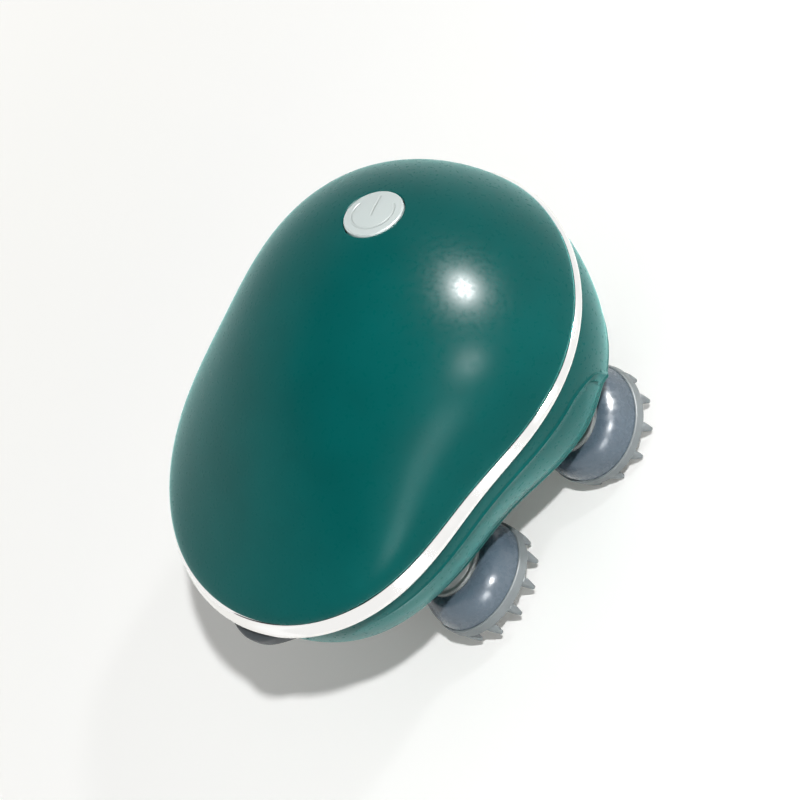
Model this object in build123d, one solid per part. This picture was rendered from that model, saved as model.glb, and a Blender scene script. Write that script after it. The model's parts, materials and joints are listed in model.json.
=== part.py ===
from build123d import *

import os
from math import acos, atan2, cos, degrees, hypot, pi, radians, sin, tan

# Four-head electric scalp massager, in millimetres. It stands on its prong tips on Z = 0, +Z is up
# through the domed top, +X points to the end with the push button, and the origin is the middle of
# its footprint.

# Casing outline: a peanut, wide in two lobes and pinched at the waist
CASING_LENGTH = 118.4
WAIST_BREADTH = 90.8
END_PINCH = 0.104
WAIST_PINCH = 0.142
WALL = 2.2
OUTLINE_POINTS = 18

# Edge of the upper shell: a shallow bow that climbs to the tail, at this height in the middle
PARTING_MIDDLE = 53.3
PARTING_TAIL = 8.6
PARTING_NOSE = -4.3

# Upper shell: a dome that leans toward the nose
DOME_HEIGHT = 32.2
DOME_LEAN = 0.787
DOME_SHIFT = -7.9
DOME_FULLNESS = 1.03
DOME_ROUNDNESS = 1.14
CROWN_STRETCH = 0.13
DOME_ANGLES = (90, 75, 60, 45, 30, 14)

# Lower shell: a bowl that narrows toward the tail as it deepens, with a finger grip on each side
BOWL_DEPTH = 52.4
BOWL_FULLNESS = 0.895
BOWL_SHIFT = -7.8
BOWL_TAPER = 0.648
BOWL_NARROWING = 0.612
BOWL_PINCH = -1.12
BOWL_ANGLES = (90, 79, 68, 57)
GRIP_DROP = 9.4
GRIP_DEPTH = 0.8
GRIP_NOSE = 36.0
GRIP_TAIL = -42.0
GRIP_CORNER = 9.0

# Base cover: a flat plate with a rim that stands inside the lower shell
COVER_BOTTOM = 25.5
COVER_FLOOR = 2.1
COVER_ROUNDING = 1.4
COVER_RIM = 2.4
RIM_WALL = 1.4
FIT_GAP = 0.1

# Trim ring: a slanting band, tall at the tail and slim at the nose, and the gasket behind it
RING_TAIL = 4.45
RING_NOSE = 1.5
LIP_TAIL = 2.1
LIP_NOSE = 0.7
RING_EDGE = 0.5
RING_REST = 0.03
RING_THICKNESS = 1.4
SEAL_THICKNESS = 1.6

# Push button, square to the dome near the nose, and what it presses
BUTTON_DIAMETER = 14.4
BUTTON_ANGLE = 42.8
BUTTON_LENGTH = 5.0
BUTTON_GAP = 0.3
BUTTON_TRAVEL = 0.7
BUTTON_PROUD = 0.4
BUTTON_CROWN = 0.5
BOOT_THICKNESS = 0.8
BOOT_RIM = 2.4
SWITCH_BODY = 6.0
SWITCH_HEIGHT = 3.1
PLUNGER_DIAMETER = 3.4
PLUNGER_LENGTH = 0.5
BOARD_THICKNESS = 1.2
BOARD_SIZE = 20.0
BOARD_POST = 3.0

# Massage heads, leaning on upright shafts so that they knead as they turn
HEAD_X = 23.0
HEAD_Y = 20.6
HEAD_LEAN = 10.0
PAD_DIAMETER = 28.8
PAD_BAND = 3.4
PAD_ROUNDING = 1.0
CUP_HEIGHT = 10.4
CUP_WALL = 1.6
CUP_TOP_DIAMETER = 20.6
CUP_STEP = 0.5
HUB_DIAMETER = 19.6
HUB_EDGE = 1.2
HUB_RISE = 4.0
COLLAR_WALL = 2.75
HUB_CLEARANCE = 0.9
SPIGOT_WALL = 2.0
SPIGOT_LENGTH = 3.0
PRONG_LENGTH = 4.6
PRONG_BASE = 2.8
PRONG_TIP = 1.4
PRONG_SIDES = 6
PRONG_RINGS = ((12, 12.4), (7, 6.8), (1, 0.0))
HEADS = {
    "front_left": (1, 1, -29.0),
    "front_right": (1, -1, 29.0),
    "rear_left": (-1, 1, 90.0),
    "rear_right": (-1, -1, -90.0),
}

# Output shafts and what they run in
SHAFT_DIAMETER = 5.0
RUNNING_FIT = 0.05
BUSH_WALL = 1.6
BUSH_FLANGE = 1.2
BUSH_FLANGE_WIDTH = 1.4
BOSS_WALL = 1.8
BOSS_HEIGHT = 7.0
SEAL_WIDTH = 2.4

# Gear train: a worm turns two wheels, each wheel's pinion turns the two output gears on its side
MODULE = 1.0
OUTPUT_TEETH = 30
GEAR_WIDTH = 4.0
GEAR_AIR = 0.6
GEAR_BACKLASH = 0.25
GEAR_CLEARANCE = 1.0
WORM_MODULE = 0.8
WHEEL_TEETH = 26
WHEEL_WIDTH = 3.0
WORM_DIAMETER = 7.4
WORM_TURNS = 5
WORM_BACKLASH = 0.7
PRESSURE_ANGLE = 20.0
TOOTH_ROOT = 1.25
THREAD_ROOT = 1.2
THREAD_SINK = 0.2
ARBOR_DIAMETER = 3.0
ARBOR_BUSH_WALL = 1.2
PLATE_THICKNESS = 2.0
PLATE_LENGTH = 70.0
PLATE_WIDTH = 64.0
PLATE_SHIFT = 0.5
PLATE_CORNER = 12.0
PLATE_POST = 6.4
PLATE_POSTS = ((-30.5, 0.0), (30.5, 0.0), (0.0, -27.9), (0.0, 27.9))

# Motor, lying along X on the gearbox plate, and the cover over the worm
MOTOR_DIAMETER = 20.0
MOTOR_FLATS = 15.0
MOTOR_LENGTH = 30.0
MOTOR_BOSS = 6.0
MOTOR_BOSS_LENGTH = 1.6
MOTOR_SHAFT = 2.0
CLAMP_WIDTH = 9.0
CLAMP_THICKNESS = 1.2
CLAMP_FOOT = 7.0
GEAR_COVER_WALL = 1.5
GEAR_COVER_AIR = 0.9

# Battery, lying across the massager behind the gears
BATTERY_DIAMETER = 14.2
BATTERY_LENGTH = 50.0
BATTERY_CAP = 5.0
CRADLE_WALL = 1.4
CRADLE_WIDTH = 9.0
CRADLE_SPACING = 30.0

# Charging port beside the tail, under a bulging rubber flap
PORT_ANGLE = 192.0
PORT_HEIGHT = 3.2
PORT_WIDTH = 9.0
PORT_DEPTH = 7.0
PORT_WALL = 0.4
FLAP_LENGTH = 22.0
FLAP_HEIGHT = 4.6
FLAP_PROUD = 4.0
FLAP_ENDS = 0.8
FLAP_DEPTH = 2.6
FLAP_RELIEF = 2.0
FLAP_GAP = 0.4
PLUG_LENGTH = 0.6
PLUG_GAP = 0.9
CHARGER_LENGTH = 9.4
CHARGER_WIDTH = 18.0
SHELF_LENGTH = 4.0

# Screws that hold the gearbox plate and the casing
SCREW_DIAMETER = 2.6
SCREW_HEAD = 5.0
SCREW_HEAD_HEIGHT = 1.6
PLATE_SCREW_LENGTH = 8.0
CASING_POST = 6.6
CASING_SCREW_REACH = 9.0
CASING_JOINT_DROP = 9.3
CASING_SCREWS = ((-40.0, -6.5), (-40.0, 6.5), (41.5, -14.0), (41.5, 14.0))

# Places and sizes that follow from those above
HALF_LENGTH = CASING_LENGTH / 2
EVERYWHERE = (-CASING_LENGTH, CASING_LENGTH)
SLOPE = (PARTING_NOSE - PARTING_TAIL) / CASING_LENGTH
SAG = (PARTING_NOSE + PARTING_TAIL) / 2
FLOOR_TOP = COVER_BOTTOM + COVER_FLOOR
BUSH_DIAMETER = SHAFT_DIAMETER + 2 * RUNNING_FIT + 2 * BUSH_WALL
SPIGOT_DIAMETER = SHAFT_DIAMETER + 2 * SPIGOT_WALL
COLLAR_DIAMETER = SHAFT_DIAMETER + 2 * COLLAR_WALL
GEAR_BOTTOM = FLOOR_TOP + BOSS_HEIGHT + BUSH_FLANGE + GEAR_AIR
GEAR_RISE = (GEAR_BOTTOM, GEAR_BOTTOM + GEAR_WIDTH)
PLATE_BOTTOM = GEAR_BOTTOM + GEAR_WIDTH + GEAR_CLEARANCE
PLATE_TOP = PLATE_BOTTOM + PLATE_THICKNESS
AXIS_HEIGHT = PLATE_TOP + MOTOR_FLATS / 2
WHEEL_Y = (WORM_DIAMETER + WORM_MODULE * WHEEL_TEETH) / 2
GEAR_CENTRES = hypot(HEAD_X, HEAD_Y - WHEEL_Y)
PINION_TEETH = round(2 * GEAR_CENTRES / MODULE) - OUTPUT_TEETH
GEAR_MODULE = 2 * GEAR_CENTRES / (OUTPUT_TEETH + PINION_TEETH)
COVER_X = WORM_MODULE * (WHEEL_TEETH / 2 + 1) + GEAR_COVER_AIR
COVER_Y = WHEEL_Y + COVER_X
GEAR_COVER_TOP = AXIS_HEIGHT + WORM_DIAMETER / 2 + WORM_MODULE + GEAR_COVER_AIR
MOTOR_FRONT = COVER_X + GEAR_COVER_WALL
BATTERY_X = -(COVER_X + GEAR_COVER_WALL + GEAR_COVER_AIR + CRADLE_WALL + BATTERY_DIAMETER / 2)
LEAN = radians(HEAD_LEAN)
LOWEST_PRONG = (PRONG_RINGS[0][1] + PRONG_TIP / 2) * sin(LEAN)
RIM_HEIGHT = LOWEST_PRONG + PRONG_LENGTH * cos(LEAN)
PORT_CENTRE = PARTING_MIDDLE + PARTING_TAIL - RING_TAIL - FLAP_GAP - FLAP_HEIGHT / 2 - 2 * RING_EDGE
WHEEL_PLACES = [(0, -WHEEL_Y), (0, WHEEL_Y)]
HEAD_PLACES = [(ahead * HEAD_X, left * HEAD_Y) for ahead, left, _ in HEADS.values()]
BUSH_TOP = FLOOR_TOP + BOSS_HEIGHT
SHAFT_BOTTOM = RIM_HEIGHT + CUP_HEIGHT - SPIGOT_LENGTH + CUP_WALL
ARBOR_BUSH_DIAMETER = ARBOR_DIAMETER + 2 * RUNNING_FIT + 2 * ARBOR_BUSH_WALL
ARBOR_BOTTOM = FLOOR_TOP + ARBOR_BUSH_WALL
ARBOR_BUSH_TOP = GEAR_BOTTOM - GEAR_AIR
BATTERY_HEIGHT = PLATE_TOP + CRADLE_WALL + BATTERY_DIAMETER / 2
CASING_JOINT = PARTING_MIDDLE + PARTING_NOSE - CASING_JOINT_DROP
CASING_HEAD = COVER_BOTTOM + 2 * SCREW_HEAD_HEIGHT

FOOT = (Align.CENTER, Align.CENTER, Align.MIN)


def rod(diameter, bottom, top, place=(0.0, 0.0)):
    """Upright cylinder between two heights."""
    return Pos(*place, bottom) * Cylinder(diameter / 2, top - bottom, align=FOOT)


def tube(diameter, bore, bottom, top, place=(0.0, 0.0)):
    """Upright tube between two heights."""
    return rod(diameter, bottom, top, place) - rod(bore, bottom, top, place)


def bar(diameter, start, end, height):
    """Cylinder along X at a given height over the middle line."""
    return Pos(start, 0, height) * Rot(0, 90, 0) * Cylinder(diameter / 2, end - start, align=FOOT)


def block(x_range, y_range, z_range):
    """Box between two planes each way."""
    sizes = [high - low for low, high in (x_range, y_range, z_range)]
    return Pos(x_range[0], y_range[0], z_range[0]) * Box(*sizes, align=(Align.MIN,) * 3)


# ---- casing surfaces -------------------------------------------------------------------------


def outline(angle, inset=0.0, pinch=1.0):
    """Point of the peanut outline; pinch fades its lobes to an ellipse."""
    along = cos(angle) + END_PINCH * pinch * cos(3 * angle)
    across = sin(angle) + WAIST_PINCH * pinch * sin(3 * angle)
    x = (HALF_LENGTH - inset) * along / (1 + END_PINCH)
    return x, (WAIST_BREADTH / 2 - inset) * across / (1 - WAIST_PINCH)


def section(height, slope=0.0, inset=0.0, sizes=(1.0, 1.0), shift=0.0, pinch=1.0, taper=0.0):
    """The outline, scaled, shifted and tapered, as a smooth wire on a plane that may rise along X."""
    points = []
    for step in range(OUTLINE_POINTS):
        angle = 2 * pi * step / OUTLINE_POINTS
        x, y = outline(angle, inset, pinch)
        x = x * sizes[0] + shift
        points.append((x, y * sizes[1] * (1 + taper * cos(angle)), height + slope * x))
    return Wire([Edge.make_spline(points, periodic=True)])


def parting_height(x):
    """Height of the upper shell's edge over a point of the X axis."""
    return PARTING_MIDDLE + SLOPE * x + SAG * (x / HALF_LENGTH) ** 2


def below_parting(drop=0.0, tilt=0.0):
    """All that lies under the upper shell's edge, lowered by a drop that changes along X."""
    reach = 0.6 * CASING_LENGTH
    middle = PARTING_MIDDLE - drop
    slope = SLOPE - tilt
    bow = SAG * (reach / HALF_LENGTH) ** 2
    tail = (-reach, 0, middle - slope * reach + bow)
    nose = (reach, 0, middle + slope * reach + bow)
    curve = Edge.make_bezier(tail, (0, 0, middle - bow), nose)
    rest = Edge.make_line(nose, (reach, 0, 0)), Edge.make_line((reach, 0, 0), (-reach, 0, 0))
    face = Face(Wire([curve, *rest, Edge.make_line((-reach, 0, 0), tail)]))
    return extrude(face, CASING_LENGTH, dir=(0, 1, 0), both=True)


def dome_station(station):
    """Scale, rise and shift of the dome's section at a station angle in degrees."""
    angle = radians(station)
    size = sin(angle) ** DOME_FULLNESS
    rise = DOME_HEIGHT * cos(angle) ** DOME_ROUNDNESS
    return size, size * (1 + CROWN_STRETCH * cos(angle) ** 2), rise, DOME_SHIFT * (1 - size ** 2)


def dome(inset):
    """Solid under the upper surface, moved in by inset; it reaches below the shell's edge."""
    share = 1 - inset / DOME_HEIGHT
    base = PARTING_MIDDLE + SAG / 2
    wires = [section(base - DOME_HEIGHT / 3, SLOPE, inset)]
    for station in DOME_ANGLES:
        size, length, rise, shift = dome_station(station)
        slope = SLOPE + rise * share * DOME_LEAN / HALF_LENGTH
        wires.append(section(base + rise * share, slope, inset, (length, size), shift, size))
    rise = DOME_HEIGHT * share
    pole = base + rise + (SLOPE + rise * DOME_LEAN / HALF_LENGTH) * DOME_SHIFT
    return Solid.make_loft([*wires, Vertex(DOME_SHIFT, 0, pole)])


def crown(station):
    """Point of the dome's middle line toward the nose, for a station angle in degrees."""
    size, length, rise, shift = dome_station(station)
    x = outline(0.0, 0.0, size)[0] * length + shift
    base = PARTING_MIDDLE + SAG / 2
    return Vector(x, 0, base + rise + (SLOPE + rise * DOME_LEAN / HALF_LENGTH) * x)


def bowl_section(depth, inset=0.0):
    """Level section of the lower surface, at a depth under the middle of the upper shell's edge."""
    size = (1 - (depth / BOWL_DEPTH) ** 2) ** (BOWL_FULLNESS / 2)
    fall = 1 - size ** 2
    narrow = 1 - BOWL_NARROWING * fall
    sizes = (size, size * narrow)
    shift, pinch, taper = BOWL_SHIFT * fall, size ** BOWL_PINCH, BOWL_TAPER * fall / narrow
    return section(PARTING_MIDDLE - depth, 0.0, inset, sizes, shift, pinch, taper)


def bowl(inset):
    """Solid inside the lower surface, moved in by inset, up to above the upper shell's edge."""
    wires = [section(PARTING_MIDDLE + PARTING_TAIL + WALL, 0.0, inset)]
    wires += [bowl_section(BOWL_DEPTH * cos(radians(station)), inset) for station in BOWL_ANGLES]
    return Solid.make_loft(wires)


def ring_height(x):
    """Height of the trim ring over a point of the X axis."""
    return (RING_TAIL + RING_NOSE) / 2 + (RING_NOSE - RING_TAIL) * x / CASING_LENGTH


def ring_lip(x):
    """How far the trim ring's lip stands out over a point of the X axis."""
    return (LIP_TAIL + LIP_NOSE) / 2 + (LIP_NOSE - LIP_TAIL) * x / CASING_LENGTH


# ---- casing pieces ---------------------------------------------------------------------------


def button_plane():
    """Plane on the dome under the button's middle, its Z axis square to the dome."""
    ahead, behind = crown(BUTTON_ANGLE + 1), crown(BUTTON_ANGLE - 1)
    along = (ahead - behind).normalized()
    return Plane(crown(BUTTON_ANGLE), x_dir=along, z_dir=(-along.Z, 0, along.X))


BUTTON = button_plane().location
BOOT_TOP = -(BUTTON_LENGTH + BUTTON_TRAVEL + BUTTON_GAP)
BOARD_TOP = BOOT_TOP - BOOT_THICKNESS - PLUNGER_LENGTH - SWITCH_HEIGHT
BUTTON_HOLE = BUTTON_DIAMETER + 2 * BUTTON_GAP
BOOT_DIAMETER = BUTTON_HOLE + 2 * BOOT_RIM


def top_shell():
    core = BUTTON * rod(BOOT_DIAMETER, BOOT_TOP, WALL)
    corner = (BOARD_SIZE - BOARD_POST) / 2
    for x in (-corner, corner):
        for y in (-corner, corner):
            core += BUTTON * rod(BOARD_POST, BOARD_TOP, WALL, (x, y))
    top = PARTING_MIDDLE + DOME_HEIGHT
    for place in CASING_SCREWS:
        core += rod(CASING_POST, CASING_JOINT, top, place)
    shell = dome(0.0) - below_parting() - (dome(WALL) - core)
    posts = []
    for x, y in CASING_SCREWS:
        posts.append(rod(CASING_POST, CASING_JOINT, parting_height(x) + WALL, (x, y)))
    shell = shell + (Part() + posts)
    for place in CASING_SCREWS:
        shell -= rod(SCREW_DIAMETER, CASING_JOINT, CASING_JOINT + CASING_SCREW_REACH, place)
    return shell - BUTTON * rod(BUTTON_HOLE, BOOT_TOP, 2 * WALL) - button_boot()


def normal(angle):
    """Direction in which the outline faces at an angle, as a unit X and Y."""
    (ahead, left), (behind, right) = outline(angle + 0.01), outline(angle - 0.01)
    run = hypot(ahead - behind, left - right)
    return (left - right) / run, (behind - ahead) / run


def follow(offset, lip, fall, drop=0.0):
    """Closed curve round the casing, moved out by an offset and a share of the ring's lip, and
    lying under the upper shell's edge by a share of the ring's height and a further drop."""
    points = []
    for step in range(2 * OUTLINE_POINTS):
        angle = pi * step / OUTLINE_POINTS
        x, y = outline(angle)
        across, along = normal(angle)
        reach = offset + lip * ring_lip(x)
        x += reach * across
        points.append((x, y + reach * along, parting_height(x) - fall * ring_height(x) - drop))
    return Edge.make_spline(points, periodic=True)


def band(profile):
    """Closed band round the casing, from the corners of its section."""
    edges = [follow(*corner) for corner in profile]
    faces = [Face.make_surface_from_curves(edge, edges[index - 1]) for index, edge in enumerate(edges)]
    return Solid(Shell(faces))


def trim_ring():
    return band(
        (
            (-RING_THICKNESS, 0, 1, -RING_REST),
            (-RING_THICKNESS, 0, 0, RING_REST),
            (0, 0, 0, RING_REST),
            (RING_EDGE / 2, 0.5, 0.4),
            (0, 1, 1, -RING_EDGE),
            (-RING_EDGE, 1, 1, -RING_REST),
        )
    )


def casing_seal():
    outer = -RING_THICKNESS - FIT_GAP
    inner = outer - SEAL_THICKNESS
    bottom, top = (0, 1, -RING_REST), (0, 0, RING_REST)
    return band(((inner, *bottom), (inner, *top), (outer, *top), (outer, *bottom)))


def port_plane():
    """Upright frame on the outline behind the flap; its X axis points into the casing."""
    angle = radians(PORT_ANGLE)
    x, y = outline(angle)
    across, along = normal(angle)
    return Plane((x, y, PORT_CENTRE), x_dir=(-across, -along, 0), z_dir=(0, 0, 1))


PORT = port_plane().location
PORT_START = FLAP_DEPTH + PLUG_LENGTH + FLAP_GAP
SHELF_TOP = -PORT_HEIGHT / 2 - BOARD_THICKNESS


def grips():
    """What the finger grips take off both sides of the lower casing."""
    side = block((GRIP_TAIL, GRIP_NOSE), EVERYWHERE, (0, PARTING_MIDDLE + PARTING_TAIL))
    leaf = side & below_parting(GRIP_DROP)
    return fillet(leaf.edges().filter_by(GeomType.BSPLINE), GRIP_CORNER) - bowl(GRIP_DEPTH)


def lower_shell():
    middle, tilt = ring_height(0), (RING_NOSE - RING_TAIL) / CASING_LENGTH
    side = block(EVERYWHERE, EVERYWHERE, (FLOOR_TOP, CASING_LENGTH))
    outer = bowl(0.0) & (below_parting(middle, tilt) & side)
    seat = FLAP_LENGTH / 2 + WALL
    reach = PORT_START + PORT_DEPTH + SHELF_LENGTH
    core = block((0, FLAP_DEPTH + WALL), (-seat, seat), (SHELF_TOP - WALL, FLAP_HEIGHT))
    core += block((0, reach), (-CHARGER_WIDTH / 2, CHARGER_WIDTH / 2), (SHELF_TOP - WALL, SHELF_TOP))
    shell = outer - (bowl(WALL) - PORT * core)
    half = FLAP_LENGTH / 2 + FLAP_GAP
    rise = FLAP_HEIGHT / 2 + FLAP_GAP
    shell -= PORT * block((-WALL, FLAP_DEPTH + FLAP_GAP), (-half, half), (-rise, rise))
    slot = PORT_HEIGHT / 2
    shell -= PORT * block((0, reach), (-PORT_WIDTH / 2, PORT_WIDTH / 2), (-slot, slot))
    return shell - grips()


def cover_blank():
    """Floor plate with a rounded edge, and the rim that stands inside the lower shell."""
    depth = PARTING_MIDDLE - COVER_BOTTOM
    edge = bowl_section(depth - COVER_FLOOR), bowl_section(depth - COVER_ROUNDING / 2)
    plate = Solid.make_loft([*edge, bowl_section(depth, COVER_ROUNDING)], ruled=True)
    inset = WALL + FIT_GAP
    outer = make_face(bowl_section(depth - COVER_FLOOR, inset))
    rim = outer - make_face(bowl_section(depth - COVER_FLOOR, inset + RIM_WALL))
    return plate + extrude(rim, COVER_RIM, dir=(0, 0, 1))


def base_cover():
    pan = cover_blank() - grips()
    for place in HEAD_PLACES:
        pan += rod(BUSH_DIAMETER + 2 * BOSS_WALL, FLOOR_TOP, BUSH_TOP, place)
    for place in WHEEL_PLACES:
        pan += rod(ARBOR_BUSH_DIAMETER + 2 * BOSS_WALL, FLOOR_TOP, ARBOR_BUSH_TOP, place)
    for place in PLATE_POSTS:
        pan += rod(PLATE_POST, FLOOR_TOP, PLATE_BOTTOM, place)
    for place in CASING_SCREWS:
        pan += rod(CASING_POST, FLOOR_TOP, CASING_JOINT, place)
    for place in HEAD_PLACES:
        pan -= rod(BUSH_DIAMETER, COVER_BOTTOM, BUSH_TOP, place)
    for place in WHEEL_PLACES:
        pan -= rod(ARBOR_BUSH_DIAMETER, ARBOR_BOTTOM, ARBOR_BUSH_TOP, place)
    for place in PLATE_POSTS:
        pan -= rod(SCREW_DIAMETER, PLATE_TOP - PLATE_SCREW_LENGTH, PLATE_BOTTOM, place)
    for place in CASING_SCREWS:
        pan -= rod(SCREW_DIAMETER, COVER_BOTTOM, CASING_JOINT, place)
        pan -= rod(SCREW_HEAD + 2 * BUTTON_GAP, COVER_BOTTOM, CASING_HEAD + SCREW_HEAD_HEIGHT, place)
    return pan


def screw(head_bottom, tip, place):
    """Screw whose head starts at one height and whose shank ends at another, up or down."""
    bearing = head_bottom + (SCREW_HEAD_HEIGHT if tip > head_bottom else -SCREW_HEAD_HEIGHT)
    head = rod(SCREW_HEAD, min(head_bottom, bearing), max(head_bottom, bearing), place)
    return head + rod(SCREW_DIAMETER, min(bearing, tip), max(bearing, tip), place)


def casing_screws():
    tip = CASING_JOINT + CASING_SCREW_REACH
    return Compound([screw(CASING_HEAD, tip, place) for place in CASING_SCREWS])


def gearbox_screws():
    tip = PLATE_TOP - PLATE_SCREW_LENGTH
    return Compound([screw(PLATE_TOP, tip, place) for place in PLATE_POSTS])


# ---- button and electronics ------------------------------------------------------------------


def power_button():
    radius = (BUTTON_DIAMETER ** 2 / 4 + BUTTON_CROWN ** 2) / (2 * BUTTON_CROWN)
    ball = Pos(0, 0, BUTTON_PROUD + BUTTON_CROWN - radius) * Sphere(radius)
    cap = rod(BUTTON_DIAMETER, -BUTTON_LENGTH, BUTTON_PROUD + BUTTON_CROWN) & ball
    hollow = rod(BUTTON_DIAMETER - 2 * WALL, -BUTTON_LENGTH, -WALL)
    stem = rod(PLUNGER_DIAMETER, -BUTTON_LENGTH, -WALL)
    return BUTTON * (cap - hollow + stem)


def button_boot():
    return BUTTON * rod(BOOT_DIAMETER, BOOT_TOP - BOOT_THICKNESS, BOOT_TOP)


def tact_switch():
    body = Pos(0, 0, BOARD_TOP) * Box(SWITCH_BODY, SWITCH_BODY, SWITCH_HEIGHT, align=FOOT)
    return BUTTON * (body + rod(PLUNGER_DIAMETER, BOARD_TOP + SWITCH_HEIGHT, BOOT_TOP - BOOT_THICKNESS))


def control_board():
    board = Box(BOARD_SIZE, BOARD_SIZE, BOARD_THICKNESS, align=FOOT)
    return BUTTON * (Pos(0, 0, BOARD_TOP - BOARD_THICKNESS) * board)


def charging_socket():
    half, rise = PORT_WIDTH / 2, PORT_HEIGHT / 2
    end = PORT_START + PORT_DEPTH
    shell = block((PORT_START, end), (-half, half), (-rise, rise))
    inner_half, inner_rise = half - PORT_WALL, rise - PORT_WALL
    mouth = block((PORT_START, end - PORT_WALL), (-inner_half, inner_half), (-inner_rise, inner_rise))
    tongue = block((PORT_START + PORT_WALL, end), (-half / 2, half / 2), (-PORT_WALL, PORT_WALL))
    return PORT * (shell - mouth + tongue)


def charging_board():
    start = FLAP_DEPTH + WALL
    half = CHARGER_WIDTH / 2
    rise = SHELF_TOP, SHELF_TOP + BOARD_THICKNESS
    return PORT * block((start, start + CHARGER_LENGTH), (-half, half), rise)


def port_flap():
    """Bulging rubber flap, its back relieved so that it swings, with the plug behind it."""
    half, rise = FLAP_LENGTH / 2, FLAP_HEIGHT / 2
    shore = FLAP_ENDS
    bulge = ThreePointArc((shore, -half), (-FLAP_PROUD, 0), (shore, half))
    rest = Polyline((shore, half), (FLAP_DEPTH, half), (FLAP_DEPTH, -half), (shore, -half))
    flap = Pos(0, 0, -rise) * extrude(make_face(bulge + rest), FLAP_HEIGHT)
    back = flap.edges().filter_by(Axis.Y).group_by(Axis.Z)[-1]
    flap = chamfer(back, FLAP_RELIEF)
    plug = block(
        (FLAP_DEPTH, FLAP_DEPTH + PLUG_LENGTH),
        (PLUG_GAP - PORT_WIDTH / 2, PORT_WIDTH / 2 - PLUG_GAP),
        (PLUG_GAP - PORT_HEIGHT / 2, PORT_HEIGHT / 2 - PLUG_GAP),
    )
    return PORT * (flap + plug)


# ---- drive -----------------------------------------------------------------------------------


def involute(angle):
    return tan(angle) - angle


def gear(teeth, module, rise, phase, backlash, place, bore):
    """Spur gear with involute flanks between two heights; phase is one tooth's angle in degrees."""
    bottom, top = rise
    pitch = module * teeth / 2
    base = pitch * cos(radians(PRESSURE_ANGLE))
    half = (pi / 2 - backlash / (2 * module)) / teeth + involute(radians(PRESSURE_ANGLE))
    corners = []
    for radius in (pitch - TOOTH_ROOT * module, pitch, pitch + module):
        spread = half - involute(acos(base / radius)) if radius > base else half
        corners.append((radius, spread))
    flank = [(radius, -spread) for radius, spread in corners] + corners[::-1]
    points = []
    for tooth in range(teeth):
        middle = radians(phase) + 2 * pi * tooth / teeth
        points += [(radius * cos(middle + turn), radius * sin(middle + turn)) for radius, turn in flank]
    blank = extrude(make_face(Polyline(*points, close=True)), top - bottom)
    return Pos(*place, bottom) * blank - rod(bore, bottom, top, place)


def mesh_phase(direction, phase, teeth, other_teeth):
    """Tooth angle of a gear that meshes with one of known phase, lying in a given direction."""
    share = (direction - phase) * teeth / 360
    return direction + 180 - (0.5 - share) * 360 / other_teeth


def output_gear(x, y):
    side = 1 if y > 0 else -1
    direction = degrees(atan2(y - side * WHEEL_Y, x))
    phase = mesh_phase(direction, 0.0, PINION_TEETH, OUTPUT_TEETH)
    return gear(OUTPUT_TEETH, GEAR_MODULE, GEAR_RISE, phase, GEAR_BACKLASH, (x, y), SHAFT_DIAMETER)


def output_shaft(x, y):
    return rod(SHAFT_DIAMETER, SHAFT_BOTTOM, PLATE_TOP, (x, y))


def pinion(side):
    place = (0, side * WHEEL_Y)
    return gear(PINION_TEETH, GEAR_MODULE, GEAR_RISE, 0.0, GEAR_BACKLASH, place, ARBOR_DIAMETER)


def worm_wheel(side):
    facing = -90.0 * side
    phase = facing + (180.0 / WHEEL_TEETH if side > 0 else 0.0)
    bottom = AXIS_HEIGHT - WHEEL_WIDTH / 2
    place = (0, side * WHEEL_Y)
    rise = (bottom, bottom + WHEEL_WIDTH)
    wheel = gear(WHEEL_TEETH, WORM_MODULE, rise, phase, WORM_BACKLASH, place, ARBOR_DIAMETER)
    return wheel + tube(2 * ARBOR_DIAMETER, ARBOR_DIAMETER, PLATE_TOP + GEAR_AIR, bottom, place)


def arbor(side):
    return rod(ARBOR_DIAMETER, ARBOR_BOTTOM, GEAR_COVER_TOP, (0, side * WHEEL_Y))


def worm():
    """Right-handed single-start worm; a crest lies over X = 0 on the +Y side."""
    pitch = pi * WORM_MODULE
    length = WORM_TURNS * pitch
    root = WORM_DIAMETER / 2 - THREAD_ROOT * WORM_MODULE
    tip = WORM_DIAMETER / 2 + WORM_MODULE
    spread = tan(radians(PRESSURE_ANGLE))
    crest = (pitch / 2 - WORM_BACKLASH / 2) / 2 - WORM_MODULE * spread
    foot = crest + (tip - root) * spread
    turns = 2 * ((WORM_TURNS + 3) // 2)
    helix = Edge.make_helix(pitch, turns * pitch, root)
    flank = [(root - THREAD_SINK, foot), (root, foot), (tip, crest)]
    other = [(radius, -rise) for radius, rise in flank]
    profile = make_face(Polyline(*other, *flank[::-1], close=True))
    thread = sweep(Plane.XZ * profile, Wire([helix]), is_frenet=True)
    thread = Pos(0, 0, -turns * pitch / 2) * thread
    core = Pos(0, 0, -length / 2) * Cylinder(root, length, align=FOOT)
    body = core + (thread & (Pos(0, 0, -length / 2) * Cylinder(tip + 1, length, align=FOOT)))
    body -= Pos(0, 0, -length / 2) * Cylinder(MOTOR_SHAFT / 2, length, align=FOOT)
    return Plane((0, 0, AXIS_HEIGHT), x_dir=(0, 1, 0), z_dir=(1, 0, 0)) * body


def motor_shaft():
    return bar(MOTOR_SHAFT, -COVER_X - GEAR_COVER_WALL, MOTOR_FRONT + MOTOR_BOSS, AXIS_HEIGHT)


def motor_section(extra):
    circle = Circle(MOTOR_DIAMETER / 2 + extra)
    return circle & Rectangle(MOTOR_DIAMETER + 2 * extra, MOTOR_FLATS + 2 * extra)


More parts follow.
